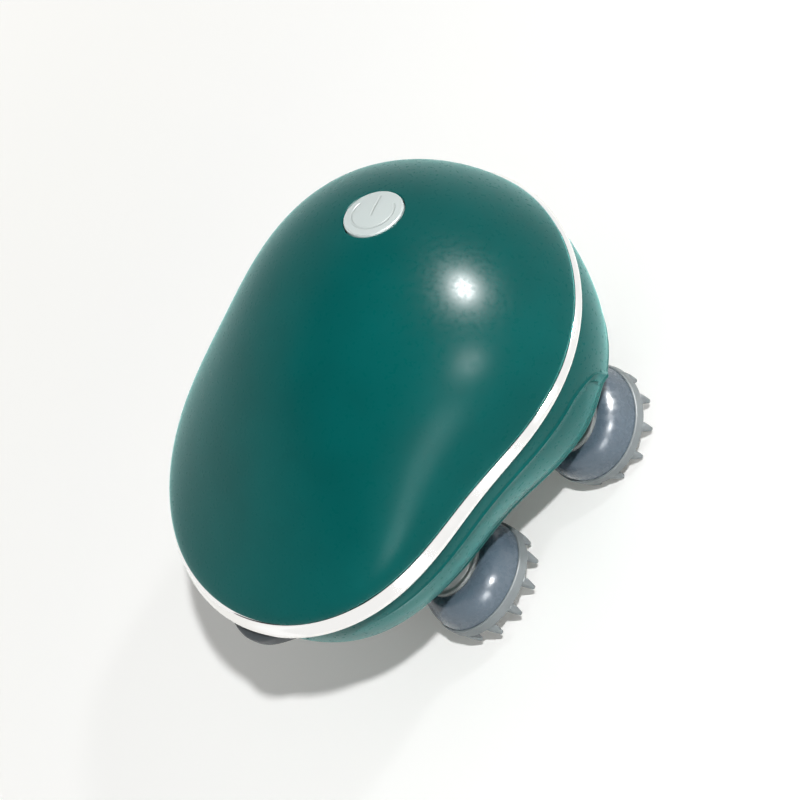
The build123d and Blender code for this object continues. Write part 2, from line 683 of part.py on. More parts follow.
def drive_motor():
    along = Plane((MOTOR_FRONT, 0, AXIS_HEIGHT), x_dir=(0, 1, 0), z_dir=(1, 0, 0))
    body = along * extrude(motor_section(0.0), MOTOR_LENGTH)
    body += bar(MOTOR_BOSS, MOTOR_FRONT - MOTOR_BOSS_LENGTH, MOTOR_FRONT, AXIS_HEIGHT)
    start, end = MOTOR_FRONT - MOTOR_BOSS_LENGTH, MOTOR_FRONT + MOTOR_BOSS
    return body - bar(MOTOR_SHAFT + 2 * RUNNING_FIT, start, end, AXIS_HEIGHT)


def motor_clamp():
    start = MOTOR_FRONT + (MOTOR_LENGTH - CLAMP_WIDTH) / 2
    along = Plane((start, 0, AXIS_HEIGHT), x_dir=(0, 1, 0), z_dir=(1, 0, 0))
    strap = motor_section(CLAMP_THICKNESS) - motor_section(0.0)
    strap = along * extrude(strap, CLAMP_WIDTH) - block(EVERYWHERE, EVERYWHERE, (0, PLATE_TOP))
    edge = (MOTOR_DIAMETER ** 2 / 4 - (MOTOR_FLATS / 2 - CLAMP_THICKNESS) ** 2) ** 0.5
    for side in (-1, 1):
        ends = sorted((side * edge, side * (edge + CLAMP_FOOT)))
        strap += block((start, start + CLAMP_WIDTH), ends, (PLATE_TOP, PLATE_TOP + CLAMP_THICKNESS))
    return strap


def gearbox_plate():
    plan = RectangleRounded(PLATE_LENGTH, PLATE_WIDTH, PLATE_CORNER)
    plate = Pos(PLATE_SHIFT, 0, PLATE_BOTTOM) * extrude(plan, PLATE_THICKNESS)
    for place in HEAD_PLACES:
        plate -= rod(SHAFT_DIAMETER + 2 * RUNNING_FIT, PLATE_BOTTOM, PLATE_TOP, place)
    for place in WHEEL_PLACES:
        plate -= rod(ARBOR_DIAMETER + 2 * RUNNING_FIT, PLATE_BOTTOM, PLATE_TOP, place)
    for place in PLATE_POSTS:
        plate -= rod(SCREW_DIAMETER, PLATE_BOTTOM, PLATE_TOP, place)
        plate -= rod(SCREW_HEAD, PLATE_TOP - SCREW_HEAD_HEIGHT, PLATE_TOP, place)
    return plate


def gear_cover():
    outer = COVER_X + GEAR_COVER_WALL
    side = COVER_Y + GEAR_COVER_WALL
    box = block((-outer, outer), (-side, side), (PLATE_TOP, GEAR_COVER_TOP + GEAR_COVER_WALL))
    box -= block((-COVER_X, COVER_X), (-COVER_Y, COVER_Y), (PLATE_TOP, GEAR_COVER_TOP))
    bearing = (GEAR_COVER_TOP - GEAR_COVER_WALL, GEAR_COVER_TOP)
    for place in WHEEL_PLACES:
        box += rod(ARBOR_BUSH_DIAMETER + 2 * BOSS_WALL, *bearing, place)
        box -= rod(ARBOR_DIAMETER + 2 * RUNNING_FIT, *bearing, place)
    box -= bar(MOTOR_SHAFT + 2 * RUNNING_FIT, -outer, 0, AXIS_HEIGHT)
    return box - bar(MOTOR_BOSS, 0, outer, AXIS_HEIGHT)


def shaft_bushes():
    top = BUSH_TOP + BUSH_FLANGE
    bushes = []
    for place in HEAD_PLACES:
        bush = rod(BUSH_DIAMETER, COVER_BOTTOM + SEAL_WIDTH, BUSH_TOP, place)
        bush += rod(BUSH_DIAMETER + 2 * BUSH_FLANGE_WIDTH, BUSH_TOP, top, place)
        bushes.append(bush - rod(SHAFT_DIAMETER + 2 * RUNNING_FIT, COVER_BOTTOM, top, place))
    return Compound(bushes)


def shaft_seals():
    bore = SHAFT_DIAMETER + 2 * RUNNING_FIT
    top = COVER_BOTTOM + SEAL_WIDTH
    return Compound([tube(BUSH_DIAMETER, bore, COVER_BOTTOM, top, place) for place in HEAD_PLACES])


def arbor_bushes():
    sizes = ARBOR_BUSH_DIAMETER, ARBOR_DIAMETER + 2 * RUNNING_FIT, ARBOR_BOTTOM, ARBOR_BUSH_TOP
    return Compound([tube(*sizes, place) for place in WHEEL_PLACES])


def cell(diameter, length, y=0.0):
    """Cylinder on the battery's axis, which lies along Y, with its middle at y."""
    return Pos(BATTERY_X, y, BATTERY_HEIGHT) * Rot(90, 0, 0) * Cylinder(diameter / 2, length)


def battery():
    return cell(BATTERY_DIAMETER, BATTERY_LENGTH) + cell(BATTERY_CAP, CRADLE_WALL, BATTERY_LENGTH / 2)


def battery_cradle():
    breadth, height = BATTERY_DIAMETER + 2 * CRADLE_WALL, BATTERY_DIAMETER / 2 + CRADLE_WALL
    saddle = Box(breadth, CRADLE_WIDTH, height, align=FOOT)
    tie = Box(BATTERY_DIAMETER / 2, CRADLE_SPACING, CRADLE_WALL, align=FOOT)
    cradle = Pos(BATTERY_X, 0, PLATE_TOP) * tie
    for y in (-CRADLE_SPACING / 2, CRADLE_SPACING / 2):
        cradle += Pos(BATTERY_X, y, PLATE_TOP) * saddle
    return cradle - cell(BATTERY_DIAMETER, BATTERY_LENGTH)


# ---- heads -----------------------------------------------------------------------------------


def head_plane(x, y, lean_towards):
    """Plane of a head's rim; its X axis points up the lean and its Z axis up through the hub."""
    turn = radians(lean_towards)
    x_dir = (cos(LEAN) * cos(turn), cos(LEAN) * sin(turn), sin(LEAN))
    z_dir = (-sin(LEAN) * cos(turn), -sin(LEAN) * sin(turn), cos(LEAN))
    return Plane((x, y, RIM_HEIGHT), x_dir=x_dir, z_dir=z_dir).location


def head_hub(x, y, lean_towards):
    """Flange square to the cup, a neck that meets the upright collar, and the bore for the shaft."""
    plane = head_plane(x, y, lean_towards)
    edge = CUP_HEIGHT + HUB_EDGE
    local = rod(HUB_DIAMETER, CUP_HEIGHT, edge)
    local += rod(SPIGOT_DIAMETER, CUP_HEIGHT - SPIGOT_LENGTH, CUP_HEIGHT)
    top = COVER_BOTTOM - HUB_CLEARANCE
    base_face = plane * (Pos(0, 0, edge) * Circle(HUB_DIAMETER / 2 - HUB_EDGE / 2))
    neck_height = RIM_HEIGHT + edge + HUB_RISE
    collar_face = Pos(x, y, neck_height) * Circle(COLLAR_DIAMETER / 2)
    hub = plane * local + loft([base_face, collar_face])
    hub += rod(COLLAR_DIAMETER, neck_height, top, (x, y))
    return hub - rod(SHAFT_DIAMETER, SHAFT_BOTTOM, top, (x, y))


def head_cup(x, y, lean_towards):
    """Quarter-ellipse dome with an open foot and a bored roof."""
    foot = PAD_DIAMETER / 2 - CUP_STEP
    crown_radius = CUP_TOP_DIAMETER / 2
    reach, rise = foot - crown_radius, CUP_HEIGHT - PAD_BAND
    side = EllipticalCenterArc((crown_radius, PAD_BAND), reach, rise, 0, arc_size=90)
    rest = Polyline((crown_radius, CUP_HEIGHT), (0, CUP_HEIGHT), (0, PAD_BAND), (foot, PAD_BAND))
    outer = make_face(side + rest)
    roof = CUP_HEIGHT - CUP_WALL
    shoulder = (foot - CUP_WALL * 1.5, (PAD_BAND + roof) / 2)
    ceiling = ((crown_radius - CUP_WALL, roof), (0, roof))
    inner = make_face(Polyline((0, PAD_BAND), (foot - CUP_WALL, PAD_BAND), shoulder, *ceiling, close=True))
    shape = revolve(Plane.XZ * (outer - inner), Axis.Z) - rod(SPIGOT_DIAMETER, roof, CUP_HEIGHT)
    return head_plane(x, y, lean_towards) * shape


def head_pad(x, y, lean_towards):
    """Soft disc with a rounded rim and tapered prongs in rings."""
    radius = PAD_DIAMETER / 2
    pad = fillet(rod(PAD_DIAMETER, 0, PAD_BAND).edges().sort_by(Axis.Z)[0], PAD_ROUNDING)
    pad -= rod(SPIGOT_DIAMETER, PAD_BAND / 2, PAD_BAND)
    taper = degrees(atan2((PRONG_BASE - PRONG_TIP) / 2, PRONG_LENGTH))
    root = RegularPolygon(PRONG_BASE / 2, PRONG_SIDES)
    prong = Rot(180, 0, 0) * extrude(root, PRONG_LENGTH, taper=taper)
    prongs = []
    for count, ring in PRONG_RINGS:
        for index in range(count):
            turn = pi + 2 * pi * index / count
            prongs.append(Pos(ring * cos(turn), ring * sin(turn), 0) * prong)
    return head_plane(x, y, lean_towards) * (pad + prongs)


PIECES = {
    "top_shell": top_shell,
    "trim_ring": trim_ring,
    "casing_seal": casing_seal,
    "lower_shell": lower_shell,
    "base_cover": base_cover,
    "casing_screws": casing_screws,
    "gearbox_screws": gearbox_screws,
    "gearbox_plate": gearbox_plate,
    "gear_cover": gear_cover,
    "shaft_bushes": shaft_bushes,
    "shaft_seals": shaft_seals,
    "arbor_bushes": arbor_bushes,
    "drive_motor": drive_motor,
    "motor_clamp": motor_clamp,
    "motor_shaft": motor_shaft,
    "worm": worm,
    "battery": battery,
    "battery_cradle": battery_cradle,
    "control_board": control_board,
    "tact_switch": tact_switch,
    "button_boot": button_boot,
    "power_button": power_button,
    "charging_board": charging_board,
    "charging_socket": charging_socket,
    "port_flap": port_flap,
}


def main():
    os.makedirs("parts", exist_ok=True)
    for name, make in PIECES.items():
        export_step(make(), f"parts/{name}.step")
    for name, side in (("left", 1), ("right", -1)):
        export_step(worm_wheel(side), f"parts/worm_wheel_{name}.step")
        export_step(pinion(side), f"parts/pinion_{name}.step")
        export_step(arbor(side), f"parts/arbor_{name}.step")
    for name, (ahead, left, lean_towards) in HEADS.items():
        x, y = ahead * HEAD_X, left * HEAD_Y
        export_step(output_gear(x, y), f"parts/output_gear_{name}.step")
        export_step(output_shaft(x, y), f"parts/output_shaft_{name}.step")
        export_step(head_hub(x, y, lean_towards), f"parts/head_hub_{name}.step")
        export_step(head_cup(x, y, lean_towards), f"parts/head_cup_{name}.step")
        export_step(head_pad(x, y, lean_towards), f"parts/head_pad_{name}.step")


if __name__ == "__main__":
    main()
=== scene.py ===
import json

import bmesh
import bpy
import numpy as np
from mathutils import Matrix, Vector


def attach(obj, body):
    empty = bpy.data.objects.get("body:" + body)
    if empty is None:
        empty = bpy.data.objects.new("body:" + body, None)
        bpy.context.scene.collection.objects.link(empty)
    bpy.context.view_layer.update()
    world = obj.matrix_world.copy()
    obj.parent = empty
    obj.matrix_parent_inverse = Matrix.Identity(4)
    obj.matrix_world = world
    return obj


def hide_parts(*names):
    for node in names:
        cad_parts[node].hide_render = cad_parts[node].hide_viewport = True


bl_info = {
    "name": "Scalp massager",
    "version": (1, 0, 0),
    "blender": (4, 5, 0),
    "location": "3D View > Sidebar > Massager",
    "description": "Lays the skins, trim, heads and stage of a scalp massager over its frame",
    "category": "Object",
}

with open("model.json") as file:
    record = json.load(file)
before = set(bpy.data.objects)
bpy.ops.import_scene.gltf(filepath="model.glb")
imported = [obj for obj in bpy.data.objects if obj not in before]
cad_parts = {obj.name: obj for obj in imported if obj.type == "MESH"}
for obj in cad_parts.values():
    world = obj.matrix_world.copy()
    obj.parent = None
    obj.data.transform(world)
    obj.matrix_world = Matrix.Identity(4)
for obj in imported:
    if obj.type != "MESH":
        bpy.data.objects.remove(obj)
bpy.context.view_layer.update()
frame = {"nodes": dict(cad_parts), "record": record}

MM = 0.001
TURN = 2 * np.pi

# Casing surface, in millimetres, as the frame's shells have it
HALF_LENGTH = 59.2
HALF_WAIST = 45.4
END_PINCH = 0.104
WAIST_PINCH = 0.142
PARTING_MIDDLE = 53.3
PARTING_TAIL = 8.6
PARTING_NOSE = -4.3
SLOPE = (PARTING_NOSE - PARTING_TAIL) / (2 * HALF_LENGTH)
SAG = (PARTING_NOSE + PARTING_TAIL) / 2
RING_TAIL, RING_NOSE = 4.45, 1.5
RING_THICKNESS = 1.4
LIP_TAIL, LIP_NOSE = 2.1, 0.7
DOME_HEIGHT = 32.2
DOME_LEAN = 0.787
DOME_SHIFT = -7.9
DOME_FULLNESS = 1.03
DOME_ROUNDNESS = 1.14
CROWN_STRETCH = 0.13
BOWL_DEPTH = 52.4
BOWL_FULLNESS = 0.895
BOWL_SHIFT = -7.8
BOWL_TAPER = 0.648
BOWL_NARROWING = 0.612
BOWL_PINCH = -1.12
GRIP_DROP = 9.4
GRIP_NOSE = 36.0
GRIP_TAIL = -42.0
GRIP_CORNER = 9.0
GRIP_FADE = 34.0
SEAM_HEIGHT = 27.6
COVER_BOTTOM = 25.5
COVER_ROUNDING = 1.4

# Steps across a finger grip's edge, above and below it and past its nose end
EDGE_STEPS = (0.85, 0.6, 0.4, 0.2, 0.05, -0.1, -0.22, -0.36, -0.55, -0.8, -1.2)
END_STEPS = (1.2, 0.8, 0.5, 0.3, 0.15, -0.1, -0.22, -0.36, -0.55, -0.8)

# Push button, charging port and the wells of the base cover
BUTTON_STATION = 42.8
BUTTON_RADIUS = 7.2
BUTTON_TOP = -0.3
BUTTON_CROWN = 0.5
BUTTON_EDGE = 0.5
BUTTON_FOOT = -5.0
PORT_ANGLE = np.radians(192.0)
PORT_HEIGHT = 53.75
FLAP_HALF = 11.0
FLAP_RISE = 2.3
FLAP_BULGE = 4.8
SHAFT_WELL = 4.2
SCREW_WELL = 2.8
SCREWS = ((-40.0, 6.5), (41.5, 14.0))

# Massage heads: place, and the direction in which each leans. Heights are above the middle of the
# pad's face, and the collar's top is above the floor
HEADS = {
    "front_left": (23.0, 20.6, -29.0),
    "front_right": (23.0, -20.6, 29.0),
    "rear_left": (-23.0, 20.6, 90.0),
    "rear_right": (-23.0, -20.6, -90.0),
}
HEAD_LEAN = np.radians(10.0)
FRAME_PRONG_RING = 12.4
FRAME_PRONG_LENGTH = 4.6
FRAME_PRONG_TIP = 1.4
PAD_BAND = 2.5
PAD_LIP = 0.33
PAD_EDGE = 0.4
PRONG_ROOT = 0.3
PRONG_SWELL = 0.12
PRONG_RINGS = ((12, 13.2), (7, 6.8), (1, 0.0))
CUP_FOOT = 2.4
CUP_ROOF = 10.4
COLLAR_RADIUS = 5.25
COLLAR_FOOT = 15.6
COLLAR_TOP = COVER_BOTTOM - 0.9

# Stage: where the lamps aim, the rays that see a white room, and the camera
AIM = (0.0, 0.0, 0.06)
SEEN_BY = ("Is Camera Ray", "Is Glossy Ray", "Is Transmission Ray")
CAMERA_LENS = 132.0289
CAMERA_PLACE = (0.090547, -0.498564, 0.508441)
CAMERA_TURN = (
    (0.569399, 0.811946, 0.128563),
    (-0.503862, 0.468275, -0.725839),
    (-0.649545, 0.348514, 0.675744),
)


def srgb(code):
    """Linear colour of a six-digit hex code."""
    parts = [int(code[i : i + 2], 16) / 255 for i in (0, 2, 4)]
    return tuple(c / 12.92 if c < 0.04045 else ((c + 0.055) / 1.055) ** 2.4 for c in parts)


# ---- sizes and colours a user would change ---------------------------------------------------


class CasingSettings(bpy.types.PropertyGroup):
    """Sizes of the moulded casing, in metres, and its colours."""

    shell_wall: bpy.props.FloatProperty(
        name="Shell wall", description="Thickness of the shells", default=0.0022, unit="LENGTH"
    )
    button_gap: bpy.props.FloatProperty(
        name="Button gap", description="Air round the push button", default=0.0003, unit="LENGTH"
    )
    grip_depth: bpy.props.FloatProperty(
        name="Grip depth",
        description="Depth of the finger grips at their upper edge",
        default=0.0008,
        unit="LENGTH",
    )
    green: bpy.props.FloatVectorProperty(
        name="Casing green",
        description="Colour of the shells",
        default=srgb("005B58"),
        subtype="COLOR",
        size=3,
    )
    green_deep: bpy.props.FloatVectorProperty(
        name="Casing green, deep",
        description="Second tone of the shells",
        default=srgb("00524F"),
        subtype="COLOR",
        size=3,
    )
    trim: bpy.props.FloatVectorProperty(
        name="Trim",
        description="Colour of the bright trim",
        default=srgb("F2F1EF"),
        subtype="COLOR",
        size=3,
    )
    button: bpy.props.FloatVectorProperty(
        name="Button grey",
        description="Colour of the push button",
        default=srgb("C6D0CE"),
        subtype="COLOR",
        size=3,
    )
    rubber: bpy.props.FloatVectorProperty(
        name="Flap rubber",
        description="Colour of the port flap",
        default=srgb("3A4145"),
        subtype="COLOR",
        size=3,
    )


class HeadSettings(bpy.types.PropertyGroup):
    """Sizes of the massage heads, in metres, and their colours."""

    pad_diameter: bpy.props.FloatProperty(
        name="Pad diameter", description="Across the soft pad", default=0.0288, unit="LENGTH"
    )
    prong_length: bpy.props.FloatProperty(
        name="Prong length",
        description="From the pad to a prong's tip",
        default=0.0045,
        unit="LENGTH",
    )
    prong_base: bpy.props.FloatProperty(
        name="Prong base", description="Across a prong at the pad", default=0.0025, unit="LENGTH"
    )
    prong_tip: bpy.props.FloatProperty(
        name="Prong tip", description="Across a prong at its tip", default=0.0011, unit="LENGTH"
    )
    slate: bpy.props.FloatVectorProperty(
        name="Cup slate",
        description="Colour of the glossy cups",
        default=srgb("5A6976"),
        subtype="COLOR",
        size=3,
    )
    silicone: bpy.props.FloatVectorProperty(
        name="Pad grey",
        description="Colour of the soft pads",
        default=srgb("7E8587"),
        subtype="COLOR",
        size=3,
    )
    hub: bpy.props.FloatVectorProperty(
        name="Hub grey",
        description="Colour of the hubs",
        default=srgb("9CA2A0"),
        subtype="COLOR",
        size=3,
    )


class StageSettings(bpy.types.PropertyGroup):
    """Brightness of the stage."""

    key_power: bpy.props.FloatProperty(
        name="Key light", description="Power of the main lamp in watts", default=22.5
    )
    world_light: bpy.props.FloatProperty(
        name="Room light", description="Strength of the surrounding white", default=0.32
    )


# ---- meshes ----------------------------------------------------------------------------------


def lay_mesh(name, points, quads, extra=()):
    """Mesh from an array of points in millimetres and an array of quads; extra holds triangles."""
    mesh = bpy.data.meshes.new(name)
    faces = [tuple(map(int, face)) for group in (quads, extra) for face in group]
    mesh.from_pydata((np.asarray(points) * MM).tolist(), [], faces)
    mesh.validate()
    mesh.shade_smooth()
    piece = bpy.data.objects.new(name, mesh)
    bpy.context.scene.collection.objects.link(piece)
    return piece


def grid_quads(rows, columns, wrap_rows=False):
    """Quads of a rows x columns grid that closes round its columns, and round its rows if asked."""
    row = np.arange(rows if wrap_rows else rows - 1)[:, None]
    column = np.arange(columns)[None, :]
    after, beside = (row + 1) % rows, (column + 1) % columns
    ends = ((row, column), (row, beside), (after, beside), (after, column))
    corners = [line * columns + place for line, place in ends]
    return np.stack(np.broadcast_arrays(*corners), -1).reshape(-1, 4)


def fan(pole, first, columns, flip=False):
    """Triangles from a pole vertex to a ring of vertices."""
    ring = np.arange(columns)
    pair = (first + ring, first + (ring + 1) % columns)
    if flip:
        pair = pair[::-1]
    return np.stack([np.full(columns, pole), *pair], -1)


def piece_of_grid(name, grid, top_pole=None, bottom_pole=None, wrap_rows=False):
    """Skin from a (rows, columns, 3) grid whose columns run anticlockwise seen from above and whose
    rows run downward, so that its faces point outward. Each end is open, or closes in its pole."""
    rows, columns, _ = grid.shape
    points = grid.reshape(-1, 3)
    quads = grid_quads(rows, columns, wrap_rows)[:, ::-1]
    extra = []
    if top_pole is not None:
        points = np.vstack([points, top_pole])
        extra.append(fan(len(points) - 1, 0, columns))
    if bottom_pole is not None:
        points = np.vstack([points, bottom_pole])
        extra.append(fan(len(points) - 1, (rows - 1) * columns, columns, flip=True))
    return lay_mesh(name, points, quads, np.vstack(extra) if extra else ())


def dress(piece, body, slot_name, finish, *nodes):
    """Rides a piece on its body, hides the frame's pieces that it stands for and gives it its
    finish;
    its slot name is not used.
    """
    piece.data.materials.clear()
    piece.data.materials.append(finish)
    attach(piece, body)
    if nodes:
        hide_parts(*nodes)


def settled(piece):
    """Applies a piece's modifiers to its mesh."""
    graph = bpy.context.evaluated_depsgraph_get()
    mesh = bpy.data.meshes.new_from_object(piece.evaluated_get(graph))
    old = piece.data
    piece.modifiers.clear()
    piece.data = mesh
    bpy.data.meshes.remove(old)
    mesh.shade_smooth()


def thicken(piece, wall):
    """Gives an open skin its wall, inward."""
    solid = piece.modifiers.new("wall", "SOLIDIFY")
    solid.thickness, solid.offset = wall, -1
    settled(piece)


def plug_of(name, grid):
    """Closed plug between the first and last ring of a surface of revolution."""
    return piece_of_grid(name, grid, grid[0].mean(0), grid[-1].mean(0))


def cut_with(piece, cutter):
    """Cuts a closed piece with another and removes the cutter."""
    cut = piece.modifiers.new("cut", "BOOLEAN")
    cut.operation, cut.solver, cut.object = "DIFFERENCE", "EXACT", cutter
    settled(piece)
    bpy.data.objects.remove(cutter)


def face_outward(piece):
    """Turns a closed mesh's faces outward."""
    mesh = bmesh.new()
    mesh.from_mesh(piece.data)
    bmesh.ops.recalc_face_normals(mesh, faces=mesh.faces)
    mesh.to_mesh(piece.data)
    mesh.free()


# ---- casing surfaces -------------------------------------------------------------------------


def outline(angle, pinch=1.0):
    """Peanut outline: x = L (cos a + e cos 3a) / (1 + e), y = B (sin a + w sin 3a) / (1 - w), with
    the end and waist pinches e and w faded or sharpened by pinch."""
    along = np.cos(angle) + END_PINCH * pinch * np.cos(3 * angle)
    across = np.sin(angle) + WAIST_PINCH * pinch * np.sin(3 * angle)
    return HALF_LENGTH * along / (1 + END_PINCH), HALF_WAIST * across / (1 - WAIST_PINCH)


def outward(curve, angle):
    """Level unit normal of a closed curve that runs anticlockwise with its angle."""
    ahead, behind = (np.stack(curve(angle + step)[:2]) for step in (0.001, -0.001))
    tangent = (ahead - behind) / np.hypot(*(ahead - behind))
    return tangent[1], -tangent[0]


def parting(x):
    """Height of the upper shell's edge: middle + slope x + sag (x / half length) squared."""
    return PARTING_MIDDLE + SLOPE * x + SAG * (x / HALF_LENGTH) ** 2


def ring_height(x):
    """Height of the trim ring, which tapers evenly from tail to nose."""
    return (RING_TAIL + RING_NOSE) / 2 + (RING_NOSE - RING_TAIL) * x / (2 * HALF_LENGTH)


def dome_point(station, angle):
    """Point of the dome. The outline is scaled by s = sin(station) ** fullness, a little longer
    toward the crown, and raised by h = height cos(station) ** roundness; the height also grows
    toward the nose. Past a station of 90 degrees the wall runs straight down."""
    turn = np.minimum(station, np.pi / 2)
    size = np.sin(turn) ** DOME_FULLNESS
    x, y = outline(angle, size)
    rise = DOME_HEIGHT * np.clip(np.cos(turn), 0, 1) ** DOME_ROUNDNESS
    x = x * size * (1 + CROWN_STRETCH * np.cos(turn) ** 2) + DOME_SHIFT * (1 - size**2)
    fall = DOME_HEIGHT * (station - turn)
    height = PARTING_MIDDLE + SAG / 2 + rise - fall + (SLOPE + rise * DOME_LEAN / HALF_LENGTH) * x
    return np.stack([x, y * size, height], -1)


def bowl_point(height, angle):
    """Point of the lower body at a height: the outline scaled by s = sin(p) ** fullness, where
    cos(p) is the depth over the bowl's depth, shifted toward the tail, narrowed and tapered by
    f = 1 - s squared."""
    cosine = np.clip((PARTING_MIDDLE - height) / BOWL_DEPTH, 0, 0.999)
    size = np.sqrt(1 - cosine**2) ** BOWL_FULLNESS
    fall = 1 - size**2
    x, y = outline(angle, size**BOWL_PINCH)
    breadth = size * (1 - BOWL_NARROWING * fall + BOWL_TAPER * fall * np.cos(angle))
    return x * size + BOWL_SHIFT * fall, y * breadth, height + 0 * x


def bowl_angle(x, height):
    """Angle between 0 and pi at which the lower body's section at a height passes x, by halving."""
    low, high = np.zeros_like(x + height), np.full_like(x + height, np.pi)
    for _ in range(36):
        middle = (low + high) / 2
        before = bowl_point(height, middle)[0] > x
        low, high = np.where(before, middle, low), np.where(before, high, middle)
    return (low + high) / 2


def side_columns():
    """Positions along X of the lower body's columns, close together where a grip ends."""
    arc = GRIP_NOSE - GRIP_CORNER * (1 - np.sin(np.linspace(0, np.pi / 2, 18)))
    step = GRIP_NOSE + np.array(END_STEPS)
    even = outline(np.linspace(0, np.pi, 121))[0]
    even = even[np.abs(even - (GRIP_NOSE - GRIP_CORNER / 2)) > GRIP_CORNER / 2 + 1]
    return np.sort(np.concatenate([even, arc, step]))[::-1]


def squeezed(x, height):
    """Place along X at a height of a column that starts at x: the middle runs straight down and
    both ends draw in with the section."""
    nose, tail = bowl_point(height, 0.0)[0], bowl_point(height, np.pi)[0]
    front, rear = GRIP_NOSE + 1, GRIP_TAIL - 1
    ahead = front + (x - front) * (nose - front) / (HALF_LENGTH - front)
    behind = rear + (x - rear) * (tail - rear) / (-HALF_LENGTH - rear)
    return np.where(x > front, ahead, np.where(x < rear, behind, x))


def grip_edge(x):
    """Height of a finger grip's upper edge, rounded off at the nose end."""
    beyond = np.clip(x - (GRIP_NOSE - GRIP_CORNER), 0, GRIP_CORNER)
    return parting(x) - GRIP_DROP - (GRIP_CORNER - np.sqrt(GRIP_CORNER**2 - beyond**2))


def side_rows(heights, depth):
    """Closed rings of the lower body at the heights that a function gives for its columns. At w
    inside a grip's edge the skin carries a bead, 0.4 exp(-((w - 0.1) / 0.45) squared), and sinks by
    the grip's depth times 1 - exp(-(w / 1.5) squared), of which three quarters come back between a
    w of 3 and 13. Both fade in from the tail as f squared (3 - 2 f)."""
    columns = side_columns()
    rows = []
    for height in heights(columns):
        x = squeezed(columns, height)
        angle = bowl_angle(x, height)
        left = np.stack(bowl_point(height, angle), -1)
        normal = np.stack([*outward(lambda turn: bowl_point(height, turn), angle), 0 * angle], -1)
        within = np.minimum(grip_edge(x) - height, GRIP_NOSE - x)
        inside = np.maximum(within, 0)
        rising = 1 - 0.75 * np.clip((inside - 3) / 10, 0, 1)
        hollow = depth * (1 - np.exp(-((inside / 1.5) ** 2))) * rising
        bead = 0.4 * np.exp(-(((within - 0.1) / 0.45) ** 2))
        fade = np.clip((x - GRIP_TAIL) / GRIP_FADE, 0, 1)
        left = left + normal * ((bead - hollow) * fade**2 * (3 - 2 * fade))[:, None]
        right = left[-2:0:-1] * (1, -1, 1)
        rows.append(np.vstack([left, right]))
    return rows


def frame_matrix(origin, along, up):
    """Matrix with its origin in millimetres, its X axis along and its Z axis up."""
    along, up = Vector(along).normalized(), Vector(up).normalized()
    matrix = Matrix((along, up.cross(along), up)).transposed().to_4x4()
    matrix.translation = Vector(origin) * MM
    return matrix


def button_frame():
    """Matrix of the push button's seat: its Z axis square to the dome, its X axis down the nose."""
    stations = np.radians(BUTTON_STATION + np.array([0.0, 1.0, -1.0]))
    here, ahead, behind = (dome_point(station, np.array(0.0)) for station in stations)
    along = ahead - behind
    return frame_matrix(here, along, (-along[2], 0, along[0]))


def port_frame():
    """Matrix of the charging port on the outline; its X axis points into the casing."""
    across, along = outward(outline, np.array(PORT_ANGLE))
    x, y = outline(PORT_ANGLE)
    return frame_matrix((x, y, PORT_HEIGHT), (-across, -along, 0), (0, 0, 1))


BUTTON = button_frame()
PORT = port_frame()


def placed(grid, matrix):
    """Grid of points in millimetres moved by a matrix whose translation is in metres."""
    turn = np.array(matrix.to_3x3())
    return grid @ turn.T + np.array(matrix.translation) / MM


def turned(profile, columns, matrix=None):
    """Surface of revolution: the profile's (radius, height) pairs carried round the Z axis."""
    angle = np.linspace(0, TURN, columns, endpoint=False)
    radius, height = np.asarray(profile, float).T
    radius, height = radius[:, None], height[:, None]
    grid = np.stack([radius * np.cos(angle), radius * np.sin(angle), height + 0 * angle], -1)
    return grid if matrix is None else placed(grid, matrix)


def corner(centre, radius, start, end, steps):
    """Points of an arc between two angles in degrees, as (radius, height) pairs; its own radius is
    one number, or two for an ellipse."""
    angle = np.radians(np.linspace(start, end, steps))
    return np.array(centre) + np.array(radius) * np.stack([np.cos(angle), np.sin(angle)], -1)


def middle_point(height, matrix):
    """Point on a matrix's Z axis, in millimetres."""
    return placed(np.array([0.0, 0.0, height]), matrix)


# ---- finishes --------------------------------------------------------------------------------


